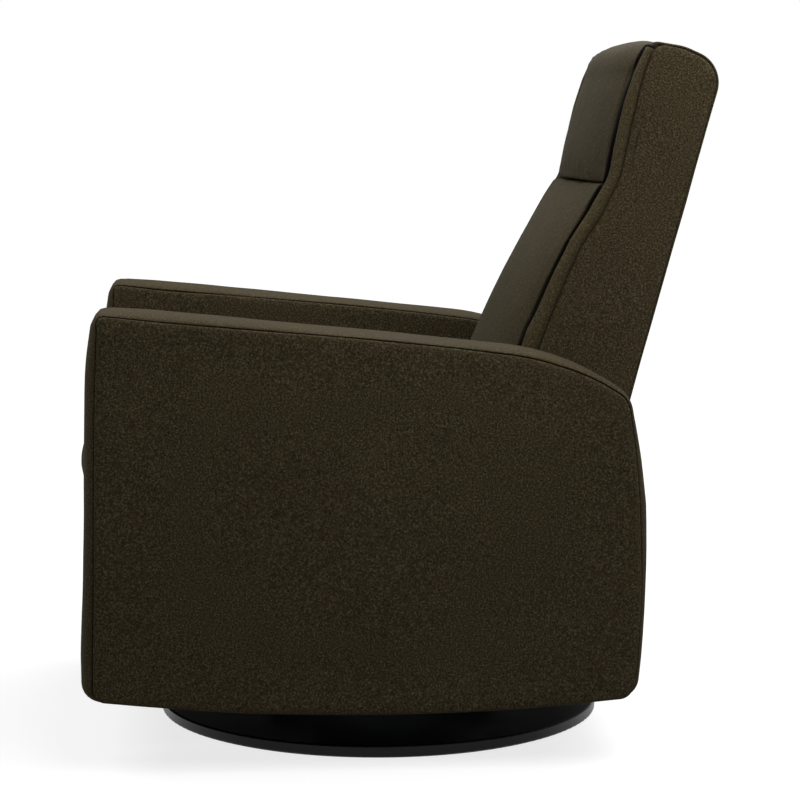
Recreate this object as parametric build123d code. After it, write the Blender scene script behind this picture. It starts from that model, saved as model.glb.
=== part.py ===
from build123d import *

import os
from math import cos, dist, hypot, pi, radians, sin, sqrt, tan

# An upholstered swivel rocking chair whose back reclines and pushes out a legrest. Millimetres.
# The origin is on the floor under the swivel axis. +Z is up, the sitter faces -Y, and the
# sitter's left hand is at +X. Side outlines are drawn as (Y, Z) pairs.

# Clearances
FIT = 0.05  # between a pin, screw or bush and the piece that holds it
RUNNING_FIT = 0.06  # radial clearance of a shaft or pin that turns
THRUST_GAP = 0.3  # end play beside a turning part
SOFT_GAP = 0.5  # between a padded piece and its neighbour
SIDE_GAP = 1.5  # beside a part that moves between the arms

# Floor pad and disc base
PAD_THICKNESS = 2.0
PAD_INSET = 8.0
DISC_RADIUS = 330.0
DISC_THICKNESS = 17.0
DISC_EDGE = 2.5

# Swivel bearing
RACE_INNER_RADIUS = 112.0
RACE_OUTER_RADIUS = 150.0
RACE_THICKNESS = 7.0
RACE_GAP = 2.0
BALL_CIRCLE_RADIUS = 128.0
BALL_RADIUS = 4.0
BALL_COUNT = 20
BALL_PLAY = 0.15
CAGE_WIDTH = 14.0
CAGE_PLAY = 0.4
RACE_SCREW_RADIUS = 2.5
RACE_SCREW_HEAD_RADIUS = 4.5
RACE_SCREW_HEAD = 3.0
RACE_SCREW_GRIP = 10.0
RACE_SCREW_COUNT = 6

# King bolt, which keeps the chair on its base
KING_BOLT_RADIUS = 8.0
KING_HEAD_RADIUS = 14.0
KING_HEAD_HEIGHT = 7.0
KING_NUT_RADIUS = 14.0
KING_NUT_HEIGHT = 13.0
KING_BOLT_END = 3.0
WASHER_RADIUS = 20.0
WASHER_THICKNESS = 3.0
KING_BUSH_WALL = 4.0

# Swivel plate and pivot towers
PLATE_HALF_WIDTH = 160.0
PLATE_HALF_DEPTH = 168.0
PLATE_THICKNESS = 6.0
PLATE_CORNER = 30.0
TOWER_X = 142.0
TOWER_THICKNESS = 8.0
TOWER_HEIGHT = 109.0
TOWER_HALF_FOOT = 55.0
TOWER_BOSS_RADIUS = 26.0
TOWER_FOOT_WIDTH = 40.0
TOWER_FOOT_THICKNESS = 8.0
TOWER_BOLT_RADIUS = 4.0
TOWER_BOLT_HEAD_RADIUS = 7.5
TOWER_BOLT_HEAD = 5.0
TOWER_BOLT_Y = 34.0

# Rock shaft, rocker rails and rock springs
SHAFT_RADIUS = 10.0
BUSH_WALL = 4.0
BUSH_FLANGE = 2.0
BUSH_FLANGE_LIP = 5.0
COLLAR_LENGTH = 12.0
COLLAR_RADIUS = 17.0
SHAFT_END = 4.0
RAIL_WIDTH = 30.0
RAIL_HEIGHT = 40.0
TUBE_WALL = 2.5
CROSS_TUBE = 30.0
SPRING_X = 90.0
SPRING_Y = 130.0
SPRING_RADIUS = 22.0
SPRING_WIRE_RADIUS = 3.5
SPRING_TURNS = 6
FRONT_BEAM_Y = -330.0
FRONT_BEAM_DEPTH = 40.0
REAR_BEAM_DEPTH = 70.0

# Arms: overall width and the side outline along the seams
WIDTH = 780.0
ARM_THICKNESS = 140.0
PANEL_PAD = 12.0
PANEL_DRAW = 4.0
BAND_DEPTH = 25.0
BAND_CROWN = 11.0
ARM_FRONT_TOP_Y = -402.0
ARM_FRONT_BOTTOM_Y = -421.0
ARM_FRONT_HEIGHT = 625.0
ARM_SHOULDER_Y = 150.0
ARM_SHOULDER_HEIGHT = 574.0
ARM_REAR_TOP_Y = 318.0
ARM_REAR_TOP_HEIGHT = 508.0
ARM_REAR_Y = 337.0
ARM_REAR_MIDDLE_HEIGHT = 300.0
ARM_REAR_BOTTOM_Y = 328.0
ARM_BOTTOM_FRONT_HEIGHT = 104.0
ARM_BOTTOM_REAR_HEIGHT = 96.0
ARM_BOTTOM_HEIGHT = 79.0
ARM_BOTTOM_Y = 20.0
ARM_FRONT_TOP_ROUND = 16.0
ARM_FRONT_BOTTOM_ROUND = 20.0
ARM_REAR_TOP_ROUND = 38.0
ARM_REAR_BOTTOM_ROUND = 26.0
FRAME_BOARD = 35.0
FRAME_RAIL_WIDTH = 28.0
REAR_POST_DROP = 66.0
BASE_BOARD = 20.0

# Recline mechanism
RECLINE_Y = 190.0
RECLINE_Z = 420.0
RECLINE_TRAVEL = 30.0
SIDE_PLATE = 6.0
SIDE_BAR_BOTTOM = 288.0
SIDE_BAR_HEIGHT = 50.0
SIDE_BAR_REAR_Y = 150.0
RECLINE_BOSS_RADIUS = 26.0
RECLINE_PIN_RADIUS = 8.0
PLATE_BOLT_RADIUS = 4.0
PLATE_BOLT_HEAD_RADIUS = 7.0
PLATE_BOLT_HEAD = 4.0
PLATE_BOLT_RISE = 11.0
PLATE_BOLT_YS = (-330.0, -110.0, 110.0)
BEAM_BOLT_RADIUS = 5.0
BEAM_BOLT_HEAD = 6.0
BEAM_BOLT_GRIP = 60.0

# Legrest and its drive
LEGREST_Y = -404.0
LEGREST_Z = 314.0
LEGREST_TRAVEL = 80.0
LEGREST_RADIUS = 24.0
LEGREST_BOTTOM = 100.0
LEGREST_PAD_DEPTH = 30.0
LEGREST_CROWN = 9.0
LEGREST_BOARD = 12.0
LEGREST_BOARD_DROP = 58.0
LEGREST_BOARD_MARGIN = 6.0
LEGREST_BOSS_RADIUS = 20.0
LEGREST_PIN_RADIUS = 6.0
LEGREST_PIN_GRIP = 30.0
TUBE_RING = 4.0
LEVER_X = 117.0
LEVER_PLATE = 6.0
LEVER_RADIUS = 130.0
LINK_PIN_RADIUS = 4.0
LINK_PIN_HEAD = 3.0
ROD_HALF_HEIGHT = 8.0
ROD_PLATE = 6.0
ROD_EYE_RADIUS = 11.0
SLOT_PLAY = 1.5
BRACKET_REACH = 70.0

# Seat
SEAT_FRONT_Y = -365.0
SEAT_REAR_Y = 140.0
SEAT_RAIL_WIDTH = 40.0
SEAT_RAIL_BOTTOM = 314.0
SEAT_RAIL_HEIGHT = 28.0
SEAT_SCREW_RADIUS = 3.0
SEAT_SCREW_HEAD_RADIUS = 6.0
SEAT_SCREW_HEAD = 4.0
SEAT_SCREW_YS = (-280.0, 40.0)
SEAT_SPRING_COUNT = 5
SEAT_SPRING_SPACING = 80.0
SEAT_SPRING_WIRE_RADIUS = 1.8
SEAT_SPRING_ROWS = 19
SEAT_SPRING_HALF_WIDTH = 14.0
SEAT_NOSE_Y = -441.0
SEAT_NOSE_HEIGHT = 402.0
SEAT_NOSE_DEPTH = 43.0
SEAT_CUSHION_REAR_Y = 148.0
SEAT_CROWN_HEIGHT = 474.0
SEAT_FRONT_HEIGHT = 456.0
SEAT_REAR_HEIGHT = 458.0
SEAT_DRAW_FRONT = 13.0
SEAT_DRAW_TOP = 15.0

# Rear panel and dust covers
REAR_PANEL_Y = 322.0
REAR_PANEL_BOTTOM = 106.0
REAR_PANEL_TOP = 366.0
REAR_BOARD = 12.0
REAR_PAD = 10.0
REAR_PAD_DRAW = 5.0
DUST_COVER = 1.5
DUST_COVER_DEPTH = 140.0

# Back: side outline along the seams, and its frame
BACK_NOTCH_Y = 318.0
BACK_NOTCH_HEIGHT = 799.0
BACK_FRONT_ANGLE = 23.7
BACK_HEAD_ANGLE = 15.45
BACK_TOP_HEIGHT = 998.0
BACK_TOP_ANGLE = 18.4
BACK_REAR_Y = 331.0
BACK_REAR_ANGLE = 15.4
BACK_TOP_FRONT_ROUND = 16.0
BACK_TOP_REAR_ROUND = 34.0
BACK_SIDE_BOTTOM = 465.0
BACK_TAIL_HEIGHT = 350.0
BACK_COVER = 8.0
BACK_SIDE_PAD = 21.0
BACK_SIDE_DRAW = 5.0
BACK_BORDER_LOW = 24.0
BACK_BORDER_NOTCH = 14.0
BACK_BORDER_TOP = 2.0
STILE = 18.0
HINGE_PLATE = 5.0
HINGE_BOLT_RADIUS = 3.0
HINGE_BOLT_HEAD_RADIUS = 5.5
HINGE_BOLT_HEAD = 3.5
FRAME_SETBACK = 35.0
STRAP = 3.0
STRAP_WIDTH = 46.0
LUMBAR_STRAP_DROPS = (61.0, 123.0, 185.0, 247.0, 309.0)
HEAD_STRAP_RISES = (31.0, 101.0)
BACK_RAIL = 20.0
BACK_RAIL_HEIGHT = 50.0
BACK_RAIL_SETBACK = 8.0
LOW_RAIL_RISE = 25.0
NOTCH_RAIL_DROP = 39.0
TOP_RAIL_DROP = 93.0
TAIL_RAIL_DEPTH = 40.0
TAIL_RAIL_HEIGHT = 40.0

# Lumbar cushion and headrest
CUSHION_SIDE_GAP = 1.5
CUSHION_EDGE = 18.0
LUMBAR_CROWN = 50.0
LUMBAR_BOW = 3.0
LUMBAR_RISE = 9.0
LUMBAR_NOTCH_GAP = 3.0
LUMBAR_TOP_SHARE = 0.62
CUSHION_SPLIT = 4.0
HEAD_CROWN = 37.0
HEAD_BOW = 3.0
HEAD_TOP_RISE = 8.0
HEAD_SHOULDER = 46.0
HEAD_TOP_DEPTH = 24.0
HEAD_REAR_SETBACK = 6.0

# Heights of the swivel stack, worked up from the floor
DISC_TOP = PAD_THICKNESS + DISC_THICKNESS
LOWER_RACE_TOP = DISC_TOP + RACE_THICKNESS
BALL_Z = LOWER_RACE_TOP + RACE_GAP / 2
UPPER_RACE_BOTTOM = LOWER_RACE_TOP + RACE_GAP
PLATE_BOTTOM = UPPER_RACE_BOTTOM + RACE_THICKNESS
PLATE_TOP = PLATE_BOTTOM + PLATE_THICKNESS
ROCK_Z = PLATE_TOP + TOWER_HEIGHT
ROCK_AXIS = (0.0, ROCK_Z)
RECLINE_AXIS = (RECLINE_Y, RECLINE_Z)
LEGREST_AXIS = (LEGREST_Y, LEGREST_Z)
SCREW_CIRCLE_RADIUS = (BALL_CIRCLE_RADIUS + BALL_RADIUS + RACE_OUTER_RADIUS) / 2

# Places across the chair, worked inward from its sides
ARM_OUT = WIDTH / 2
ARM_IN = ARM_OUT - ARM_THICKNESS
BAND_IN = ARM_IN + PANEL_PAD
BAND_OUT = ARM_OUT - PANEL_PAD
PLATE_IN = ARM_IN - SIDE_PLATE
BETWEEN_PLATES = PLATE_IN - SIDE_GAP
STILE_OUT = BETWEEN_PLATES - BACK_SIDE_PAD
STILE_IN = STILE_OUT - STILE
TOWER_OUT = TOWER_X + TOWER_THICKNESS
FLANGE_OUT = TOWER_OUT + BUSH_FLANGE
RAIL_IN = FLANGE_OUT + THRUST_GAP + COLLAR_LENGTH
RAIL_OUT = RAIL_IN + RAIL_WIDTH
LEVER_OUT = LEVER_X + LEVER_PLATE
ROD_IN = LEVER_OUT + THRUST_GAP
ROD_OUT = ROD_IN + ROD_PLATE

# Places of the back's top and of its cushions, worked from the notch
BACK_TOP_FRONT_Y = BACK_NOTCH_Y + (BACK_TOP_HEIGHT - BACK_NOTCH_HEIGHT) * tan(radians(BACK_HEAD_ANGLE))
BACK_TOP_SLOPE = tan(radians(BACK_TOP_ANGLE))
LUMBAR_BOTTOM = BACK_SIDE_BOTTOM + LUMBAR_RISE
LUMBAR_TOP = BACK_NOTCH_HEIGHT - LUMBAR_NOTCH_GAP
HEAD_BOTTOM = LUMBAR_TOP + CUSHION_SPLIT

# The drive rods move level: the lever and the crank swing alike to both sides of straight down
HALF_RECLINE = radians(RECLINE_TRAVEL / 2)
HALF_LEGREST = radians(LEGREST_TRAVEL / 2)
CRANK_RADIUS = LEVER_RADIUS * sin(HALF_RECLINE) / sin(HALF_LEGREST)
LEVER_PIN = (
    RECLINE_Y + LEVER_RADIUS * sin(HALF_RECLINE),
    RECLINE_Z - LEVER_RADIUS * cos(HALF_RECLINE),
)
CRANK_PIN = (
    LEGREST_Y + CRANK_RADIUS * sin(HALF_LEGREST),
    LEGREST_Z - CRANK_RADIUS * cos(HALF_LEGREST),
)
SLOT_DROP = CRANK_RADIUS * (1 - cos(HALF_LEGREST)) - LEVER_RADIUS * (1 - cos(HALF_RECLINE))

PIECES = {}


def keep(name, *shapes):
    """Store the solids of one named piece."""
    PIECES[name] = [solid for shape in shapes for solid in shape.solids()]


def polygon(*points):
    """A flat face with straight sides."""
    return make_face(Polyline(*points, close=True))


def slab(face, x_low, x_high):
    """A side outline drawn in (Y, Z), given thickness from x_low to x_high."""
    return extrude(Plane.YZ.offset(x_low) * face, x_high - x_low)


def cross_pin(radius, x_low, x_high, centre):
    """A round bar along X, centred on a (Y, Z) place."""
    return slab(Pos(*centre) * Circle(radius), x_low, x_high)


def post(radius, z_low, z_high, x=0.0, y=0.0):
    """A round bar along Z."""
    return extrude(Pos(x, y, z_low) * Circle(radius), z_high - z_low)


def block(x_low, x_high, y_low, y_high, z_low, z_high):
    """A box between two corners."""
    middle = Pos((x_low + x_high) / 2, (y_low + y_high) / 2, (z_low + z_high) / 2)
    return middle * Box(x_high - x_low, y_high - y_low, z_high - z_low)


def mirrored(shape):
    """The same piece on the sitter's right."""
    return mirror(shape, about=Plane.YZ)


def both(shape):
    """A piece and its mirror image."""
    return shape, mirrored(shape)


def around(count, radius, first_angle=0.0):
    """Evenly spaced (X, Y) places on a circle."""
    angles = [radians(first_angle + 360.0 * index / count) for index in range(count)]
    return [(radius * cos(angle), radius * sin(angle)) for angle in angles]


def between(start, end, share):
    """The place part of the way from one (Y, Z) place to another."""
    return tuple(a + (b - a) * share for a, b in zip(start, end))


def ball_groove():
    """The ring that the balls run in, cut half from each race."""
    return Pos(0, 0, BALL_Z) * Torus(BALL_CIRCLE_RADIUS, BALL_RADIUS + BALL_PLAY)


def race_blank(z_low):
    """A flat bearing ring with its ball groove."""
    ring = post(RACE_OUTER_RADIUS, z_low, z_low + RACE_THICKNESS)
    bore = post(RACE_INNER_RADIUS, z_low, z_low + RACE_THICKNESS)
    return ring - bore - ball_groove()


def screw(z_under_head, grip, radius, head_radius, head, x, y):
    """A round-headed screw that points down."""
    shank = post(radius, z_under_head - grip, z_under_head, x, y)
    return shank + post(head_radius, z_under_head, z_under_head + head, x, y)


def build_base():
    """Floor pad, disc, lower race, balls, cage and king bolt."""
    keep("floor_pad", post(DISC_RADIUS - PAD_INSET, 0, PAD_THICKNESS))

    disc = post(DISC_RADIUS, PAD_THICKNESS, DISC_TOP)
    disc = fillet(disc.edges().filter_by(GeomType.CIRCLE), DISC_EDGE)
    head_top = PAD_THICKNESS + KING_HEAD_HEIGHT
    disc -= post(KING_HEAD_RADIUS + FIT, PAD_THICKNESS, head_top)
    disc -= post(KING_BOLT_RADIUS + FIT, head_top, DISC_TOP)

    race = race_blank(DISC_TOP)
    screw_seat = LOWER_RACE_TOP - RACE_SCREW_HEAD
    screw_grip = RACE_THICKNESS - RACE_SCREW_HEAD + RACE_SCREW_GRIP
    screws = []
    for x, y in around(RACE_SCREW_COUNT, SCREW_CIRCLE_RADIUS):
        sizes = (RACE_SCREW_RADIUS, RACE_SCREW_HEAD_RADIUS)
        screws.append(screw(screw_seat, screw_grip, *sizes, RACE_SCREW_HEAD, x, y))
        hole = post(RACE_SCREW_RADIUS + FIT, screw_seat - screw_grip, LOWER_RACE_TOP, x, y)
        disc -= hole
        race -= hole
        race -= post(RACE_SCREW_HEAD_RADIUS + FIT, screw_seat, LOWER_RACE_TOP, x, y)
    keep("base_disc", disc)
    keep("lower_race", race)
    keep("race_screws", *screws)

    ball_places = around(BALL_COUNT, BALL_CIRCLE_RADIUS)
    keep("bearing_balls", *[Pos(x, y, BALL_Z) * Sphere(BALL_RADIUS) for x, y in ball_places])
    cage_low = LOWER_RACE_TOP + CAGE_PLAY
    cage_high = UPPER_RACE_BOTTOM - CAGE_PLAY
    cage = post(BALL_CIRCLE_RADIUS + CAGE_WIDTH / 2, cage_low, cage_high)
    cage -= post(BALL_CIRCLE_RADIUS - CAGE_WIDTH / 2, cage_low, cage_high)
    for x, y in ball_places:
        cage -= post(BALL_RADIUS + CAGE_PLAY, cage_low, cage_high, x, y)
    keep("ball_cage", cage)

    washer_low = PLATE_TOP + THRUST_GAP
    nut_low = washer_low + WASHER_THICKNESS
    nut_high = nut_low + KING_NUT_HEIGHT
    bolt = post(KING_BOLT_RADIUS, head_top, nut_high + KING_BOLT_END)
    bolt += post(KING_HEAD_RADIUS, PAD_THICKNESS, head_top)
    keep("king_bolt", bolt)
    bore = post(KING_BOLT_RADIUS + FIT, washer_low, nut_high)
    washer = post(WASHER_RADIUS, washer_low, nut_low) - bore
    nut = extrude(Pos(0, 0, nut_low) * RegularPolygon(KING_NUT_RADIUS, 6), KING_NUT_HEIGHT) - bore
    keep("king_nut", washer, nut)


def helix_point(turn):
    """Place and heading on a rock spring's centre line after so many turns."""
    low = PLATE_TOP + SPRING_WIRE_RADIUS + THRUST_GAP
    high = ROCK_Z - CROSS_TUBE / 2 - SPRING_WIRE_RADIUS - THRUST_GAP
    rise = (high - low) / SPRING_TURNS
    angle = 2 * pi * turn
    place = Vector(SPRING_RADIUS * cos(angle), SPRING_RADIUS * sin(angle), low + rise * turn)
    circumference = 2 * pi * SPRING_RADIUS
    heading = Vector(-circumference * sin(angle), circumference * cos(angle), rise)
    return place, heading.normalized()


def biarc(start, start_heading, end, end_heading):
    """Two arcs that leave start and reach end along the given headings."""
    chord = end - start
    along = chord.dot(start_heading + end_heading)
    turn = 1 - start_heading.dot(end_heading)
    reach = (sqrt(along**2 + 2 * turn * chord.dot(chord)) - along) / (2 * turn)
    first_corner = start + start_heading * reach
    second_corner = end - end_heading * reach
    middle = (first_corner + second_corner) * 0.5
    first = TangentArc(start, middle, tangent=start_heading)
    second = TangentArc(middle, end, tangent=second_corner - first_corner)
    return [first, second]


def rock_spring():
    """One coil spring, wound as a single unbroken wire, standing at X 0, Y 0."""
    arcs = []
    quarters = SPRING_TURNS * 4
    for quarter in range(quarters):
        start, start_heading = helix_point(quarter / 4)
        end, end_heading = helix_point((quarter + 1) / 4)
        arcs += biarc(start, start_heading, end, end_heading)
    start, heading = helix_point(0)
    section = Plane(origin=start, z_dir=heading) * Circle(SPRING_WIRE_RADIUS)
    return sweep(section, path=Wire(arcs))


def print_spring_gap():
    """Least gap between neighbouring turns of a rock spring, measured on points."""
    steps = 48
    points = [tuple(helix_point(index / steps)[0]) for index in range(SPRING_TURNS * steps + 1)]
    apart = [
        dist(points[a], points[b])
        for a in range(len(points))
        for b in range(a + steps // 2, len(points))
    ]
    print("rock spring least gap between turns:", round(min(apart) - 2 * SPRING_WIRE_RADIUS, 2), "mm")


def build_swivel():
    """Upper race, swivel plate, pivot towers with their bushes, and the rock springs."""
    race = race_blank(UPPER_RACE_BOTTOM)
    plate_outline = RectangleRounded(2 * PLATE_HALF_WIDTH, 2 * PLATE_HALF_DEPTH, PLATE_CORNER)
    plate = extrude(Pos(0, 0, PLATE_BOTTOM) * plate_outline, PLATE_THICKNESS)
    bush_radius = KING_BOLT_RADIUS + RUNNING_FIT + KING_BUSH_WALL
    plate -= post(bush_radius + FIT, PLATE_BOTTOM, PLATE_TOP)
    bush = post(bush_radius, PLATE_BOTTOM, PLATE_TOP)
    keep("king_bush", bush - post(KING_BOLT_RADIUS + RUNNING_FIT, PLATE_BOTTOM, PLATE_TOP))

    fasteners = []
    screw_grip = PLATE_THICKNESS + RACE_THICKNESS - RACE_SCREW_HEAD
    half_step = 180.0 / RACE_SCREW_COUNT
    for x, y in around(RACE_SCREW_COUNT, SCREW_CIRCLE_RADIUS, half_step):
        sizes = (RACE_SCREW_RADIUS, RACE_SCREW_HEAD_RADIUS)
        fasteners.append(screw(PLATE_TOP, screw_grip, *sizes, RACE_SCREW_HEAD, x, y))
        hole = post(RACE_SCREW_RADIUS + FIT, PLATE_TOP - screw_grip, PLATE_TOP, x, y)
        plate -= hole
        race -= hole

    foot_top = PLATE_TOP + TOWER_FOOT_THICKNESS
    side = polygon(
        (-TOWER_HALF_FOOT, PLATE_TOP),
        (TOWER_HALF_FOOT, PLATE_TOP),
        (TOWER_BOSS_RADIUS, ROCK_Z),
        (-TOWER_BOSS_RADIUS, ROCK_Z),
    )
    tower = slab(side + Pos(*ROCK_AXIS) * Circle(TOWER_BOSS_RADIUS), TOWER_X, TOWER_OUT)
    foot_in = TOWER_X - TOWER_FOOT_WIDTH
    tower += block(foot_in, TOWER_X, -TOWER_HALF_FOOT, TOWER_HALF_FOOT, PLATE_TOP, foot_top)
    bush_outer = SHAFT_RADIUS + RUNNING_FIT + BUSH_WALL
    tower -= cross_pin(bush_outer + FIT, TOWER_X, TOWER_OUT, ROCK_AXIS)
    bolt_x = TOWER_X - TOWER_FOOT_WIDTH / 2
    bolt_grip = TOWER_FOOT_THICKNESS + PLATE_THICKNESS
    for y in (-TOWER_BOLT_Y, TOWER_BOLT_Y):
        sizes = (TOWER_BOLT_RADIUS, TOWER_BOLT_HEAD_RADIUS)
        fasteners += both(screw(foot_top, bolt_grip, *sizes, TOWER_BOLT_HEAD, bolt_x, y))
        hole = post(TOWER_BOLT_RADIUS + FIT, PLATE_BOTTOM, foot_top, bolt_x, y)
        tower -= hole
        for plate_hole in both(hole):
            plate -= plate_hole
    keep("pivot_towers", *both(tower))
    keep("upper_race", race)
    keep("swivel_plate", plate)
    keep("swivel_screws", *fasteners)

    sleeve = cross_pin(bush_outer, TOWER_X, TOWER_OUT, ROCK_AXIS)
    sleeve += cross_pin(bush_outer + BUSH_FLANGE_LIP, TOWER_OUT, FLANGE_OUT, ROCK_AXIS)
    sleeve -= cross_pin(SHAFT_RADIUS + RUNNING_FIT, TOWER_X, FLANGE_OUT, ROCK_AXIS)
    keep("pivot_bushes", *both(sleeve))

    spring = rock_spring()
    places = [(x, y) for x in (-SPRING_X, SPRING_X) for y in (-SPRING_Y, SPRING_Y)]
    keep("rock_springs", *[Pos(x, y, 0) * spring for x, y in places])
    print_spring_gap()


def build_rocker():
    """Rock shaft, collars, rails, cross tubes and the beams that carry the arms."""
    keep("rock_shaft", cross_pin(SHAFT_RADIUS, -RAIL_OUT - SHAFT_END, RAIL_OUT + SHAFT_END, ROCK_AXIS))
    collar = cross_pin(COLLAR_RADIUS, FLANGE_OUT + THRUST_GAP, RAIL_IN, ROCK_AXIS)
    collar -= cross_pin(SHAFT_RADIUS + FIT, FLANGE_OUT, RAIL_IN, ROCK_AXIS)
    keep("shaft_collars", *both(collar))

    low = ROCK_Z - RAIL_HEIGHT / 2
    high = ROCK_Z + RAIL_HEIGHT / 2
    front = FRONT_BEAM_Y + FRONT_BEAM_DEPTH
    rear = REAR_PANEL_Y - REAR_BEAM_DEPTH
    rail = block(RAIL_IN, RAIL_OUT, front, rear, low, high)
    hollow = (RAIL_IN + TUBE_WALL, RAIL_OUT - TUBE_WALL, front, rear, low + TUBE_WALL, high - TUBE_WALL)
    rail -= block(*hollow)
    rail -= cross_pin(SHAFT_RADIUS + FIT, RAIL_IN, RAIL_OUT, ROCK_AXIS)
    keep("rocker_rails", *both(rail))

    tubes = []
    half = CROSS_TUBE / 2
    bore = half - TUBE_WALL
    for y in (-SPRING_Y, SPRING_Y):
        tube = block(-RAIL_IN, RAIL_IN, y - half, y + half, ROCK_Z - half, ROCK_Z + half)
        tubes.append(tube - block(-RAIL_IN, RAIL_IN, y - bore, y + bore, ROCK_Z - bore, ROCK_Z + bore))
    keep("cross_tubes", *tubes)

    front_bolt_y, rear_bolt_y = beam_bolt_ys()
    beams = (("front_beam", FRONT_BEAM_Y, front, front_bolt_y), ("rear_beam", rear, REAR_PANEL_Y, rear_bolt_y))
    for name, start, end, bolt_y in beams:
        beam = block(-ARM_IN, ARM_IN, start, end, low, high)
        for hole in both(beam_bolt_hole(bolt_y)):
            beam -= hole
        keep(name, beam)

    sheets = []
    cover_low = low - DUST_COVER
    half_width = ARM_IN - SOFT_GAP
    for start in (FRONT_BEAM_Y, REAR_PANEL_Y - DUST_COVER_DEPTH):
        sheets.append(block(-half_width, half_width, start, start + DUST_COVER_DEPTH, cover_low, low))
    keep("dust_covers", *sheets)


def rear_post_y():
    """Middle of an arm's rear post, which stands inside the boxing band."""
    return ARM_REAR_TOP_Y - BAND_DEPTH - SOFT_GAP - FRAME_BOARD / 2


def beam_bolt_ys():
    """Where the arms are bolted to the front beam and, through their rear posts, to the rear beam."""
    return FRONT_BEAM_Y + FRONT_BEAM_DEPTH / 2, rear_post_y()


def beam_bolt_hole(y):
    """The hole that a beam bolt passes through, from inside the arm into the beam."""
    head_in = BAND_IN + FRAME_RAIL_WIDTH
    return cross_pin(BEAM_BOLT_RADIUS + FIT, ARM_IN - BEAM_BOLT_GRIP, head_in, (y, ROCK_Z))


def side_bolt_hole(y):
    """The hole of a bolt that holds a side plate to the arm's seat rail."""
    centre = (y, SIDE_BAR_BOTTOM + PLATE_BOLT_RISE)
    return cross_pin(PLATE_BOLT_RADIUS + FIT, PLATE_IN, BAND_IN + FRAME_RAIL_WIDTH, centre)


def arm_outline(grow, drop=None):
    """Side outline of an arm, grown outward, with its bottom edge lowered by drop."""
    if drop is None:
        drop = grow
    slope = (ARM_FRONT_HEIGHT - ARM_SHOULDER_HEIGHT) / (ARM_SHOULDER_Y - ARM_FRONT_TOP_Y)
    front_top_height = ARM_FRONT_HEIGHT + grow
    front_top = (arm_front_y(front_top_height) - grow, front_top_height)
    shoulder = (ARM_SHOULDER_Y + grow * slope, ARM_SHOULDER_HEIGHT + grow)
    rear_top = (ARM_REAR_TOP_Y + grow, ARM_REAR_TOP_HEIGHT + grow * 0.6)
    rear_middle = (ARM_REAR_Y + grow, ARM_REAR_MIDDLE_HEIGHT)
    rear_bottom = (ARM_REAR_BOTTOM_Y + grow, ARM_BOTTOM_REAR_HEIGHT - drop)
    bottom = (ARM_BOTTOM_Y, ARM_BOTTOM_HEIGHT - drop)
    front_height = ARM_BOTTOM_FRONT_HEIGHT - drop
    front_bottom = (arm_front_y(front_height) - grow, front_height)
    outline = make_face([
        Line(front_bottom, front_top),
        Line(front_top, shoulder),
        TangentArc(shoulder, rear_top, tangent=(1, -slope)),
        ThreePointArc(rear_top, rear_middle, rear_bottom),
        ThreePointArc(rear_bottom, bottom, front_bottom),
    ])
    corners = (
        (front_top, ARM_FRONT_TOP_ROUND),
        (rear_top, ARM_REAR_TOP_ROUND),
        (rear_bottom, ARM_REAR_BOTTOM_ROUND),
        (front_bottom, ARM_FRONT_BOTTOM_ROUND),
    )
    for place, radius in corners:
        corner = outline.vertices().sort_by_distance((*place, 0))[0]
        outline = fillet(corner, max(radius + grow, radius / 2))
    return outline


def arm_front_y(height):
    """Front edge of an arm at a height."""
    share = (height - ARM_BOTTOM_FRONT_HEIGHT) / (ARM_FRONT_HEIGHT - ARM_BOTTOM_FRONT_HEIGHT)
    return ARM_FRONT_BOTTOM_Y + (ARM_FRONT_TOP_Y - ARM_FRONT_BOTTOM_Y) * share


def arm_top_height(y):
    """Top edge of an arm, ahead of its shoulder."""
    share = (y - ARM_FRONT_TOP_Y) / (ARM_SHOULDER_Y - ARM_FRONT_TOP_Y)
    return ARM_FRONT_HEIGHT + (ARM_SHOULDER_HEIGHT - ARM_FRONT_HEIGHT) * share


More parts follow.
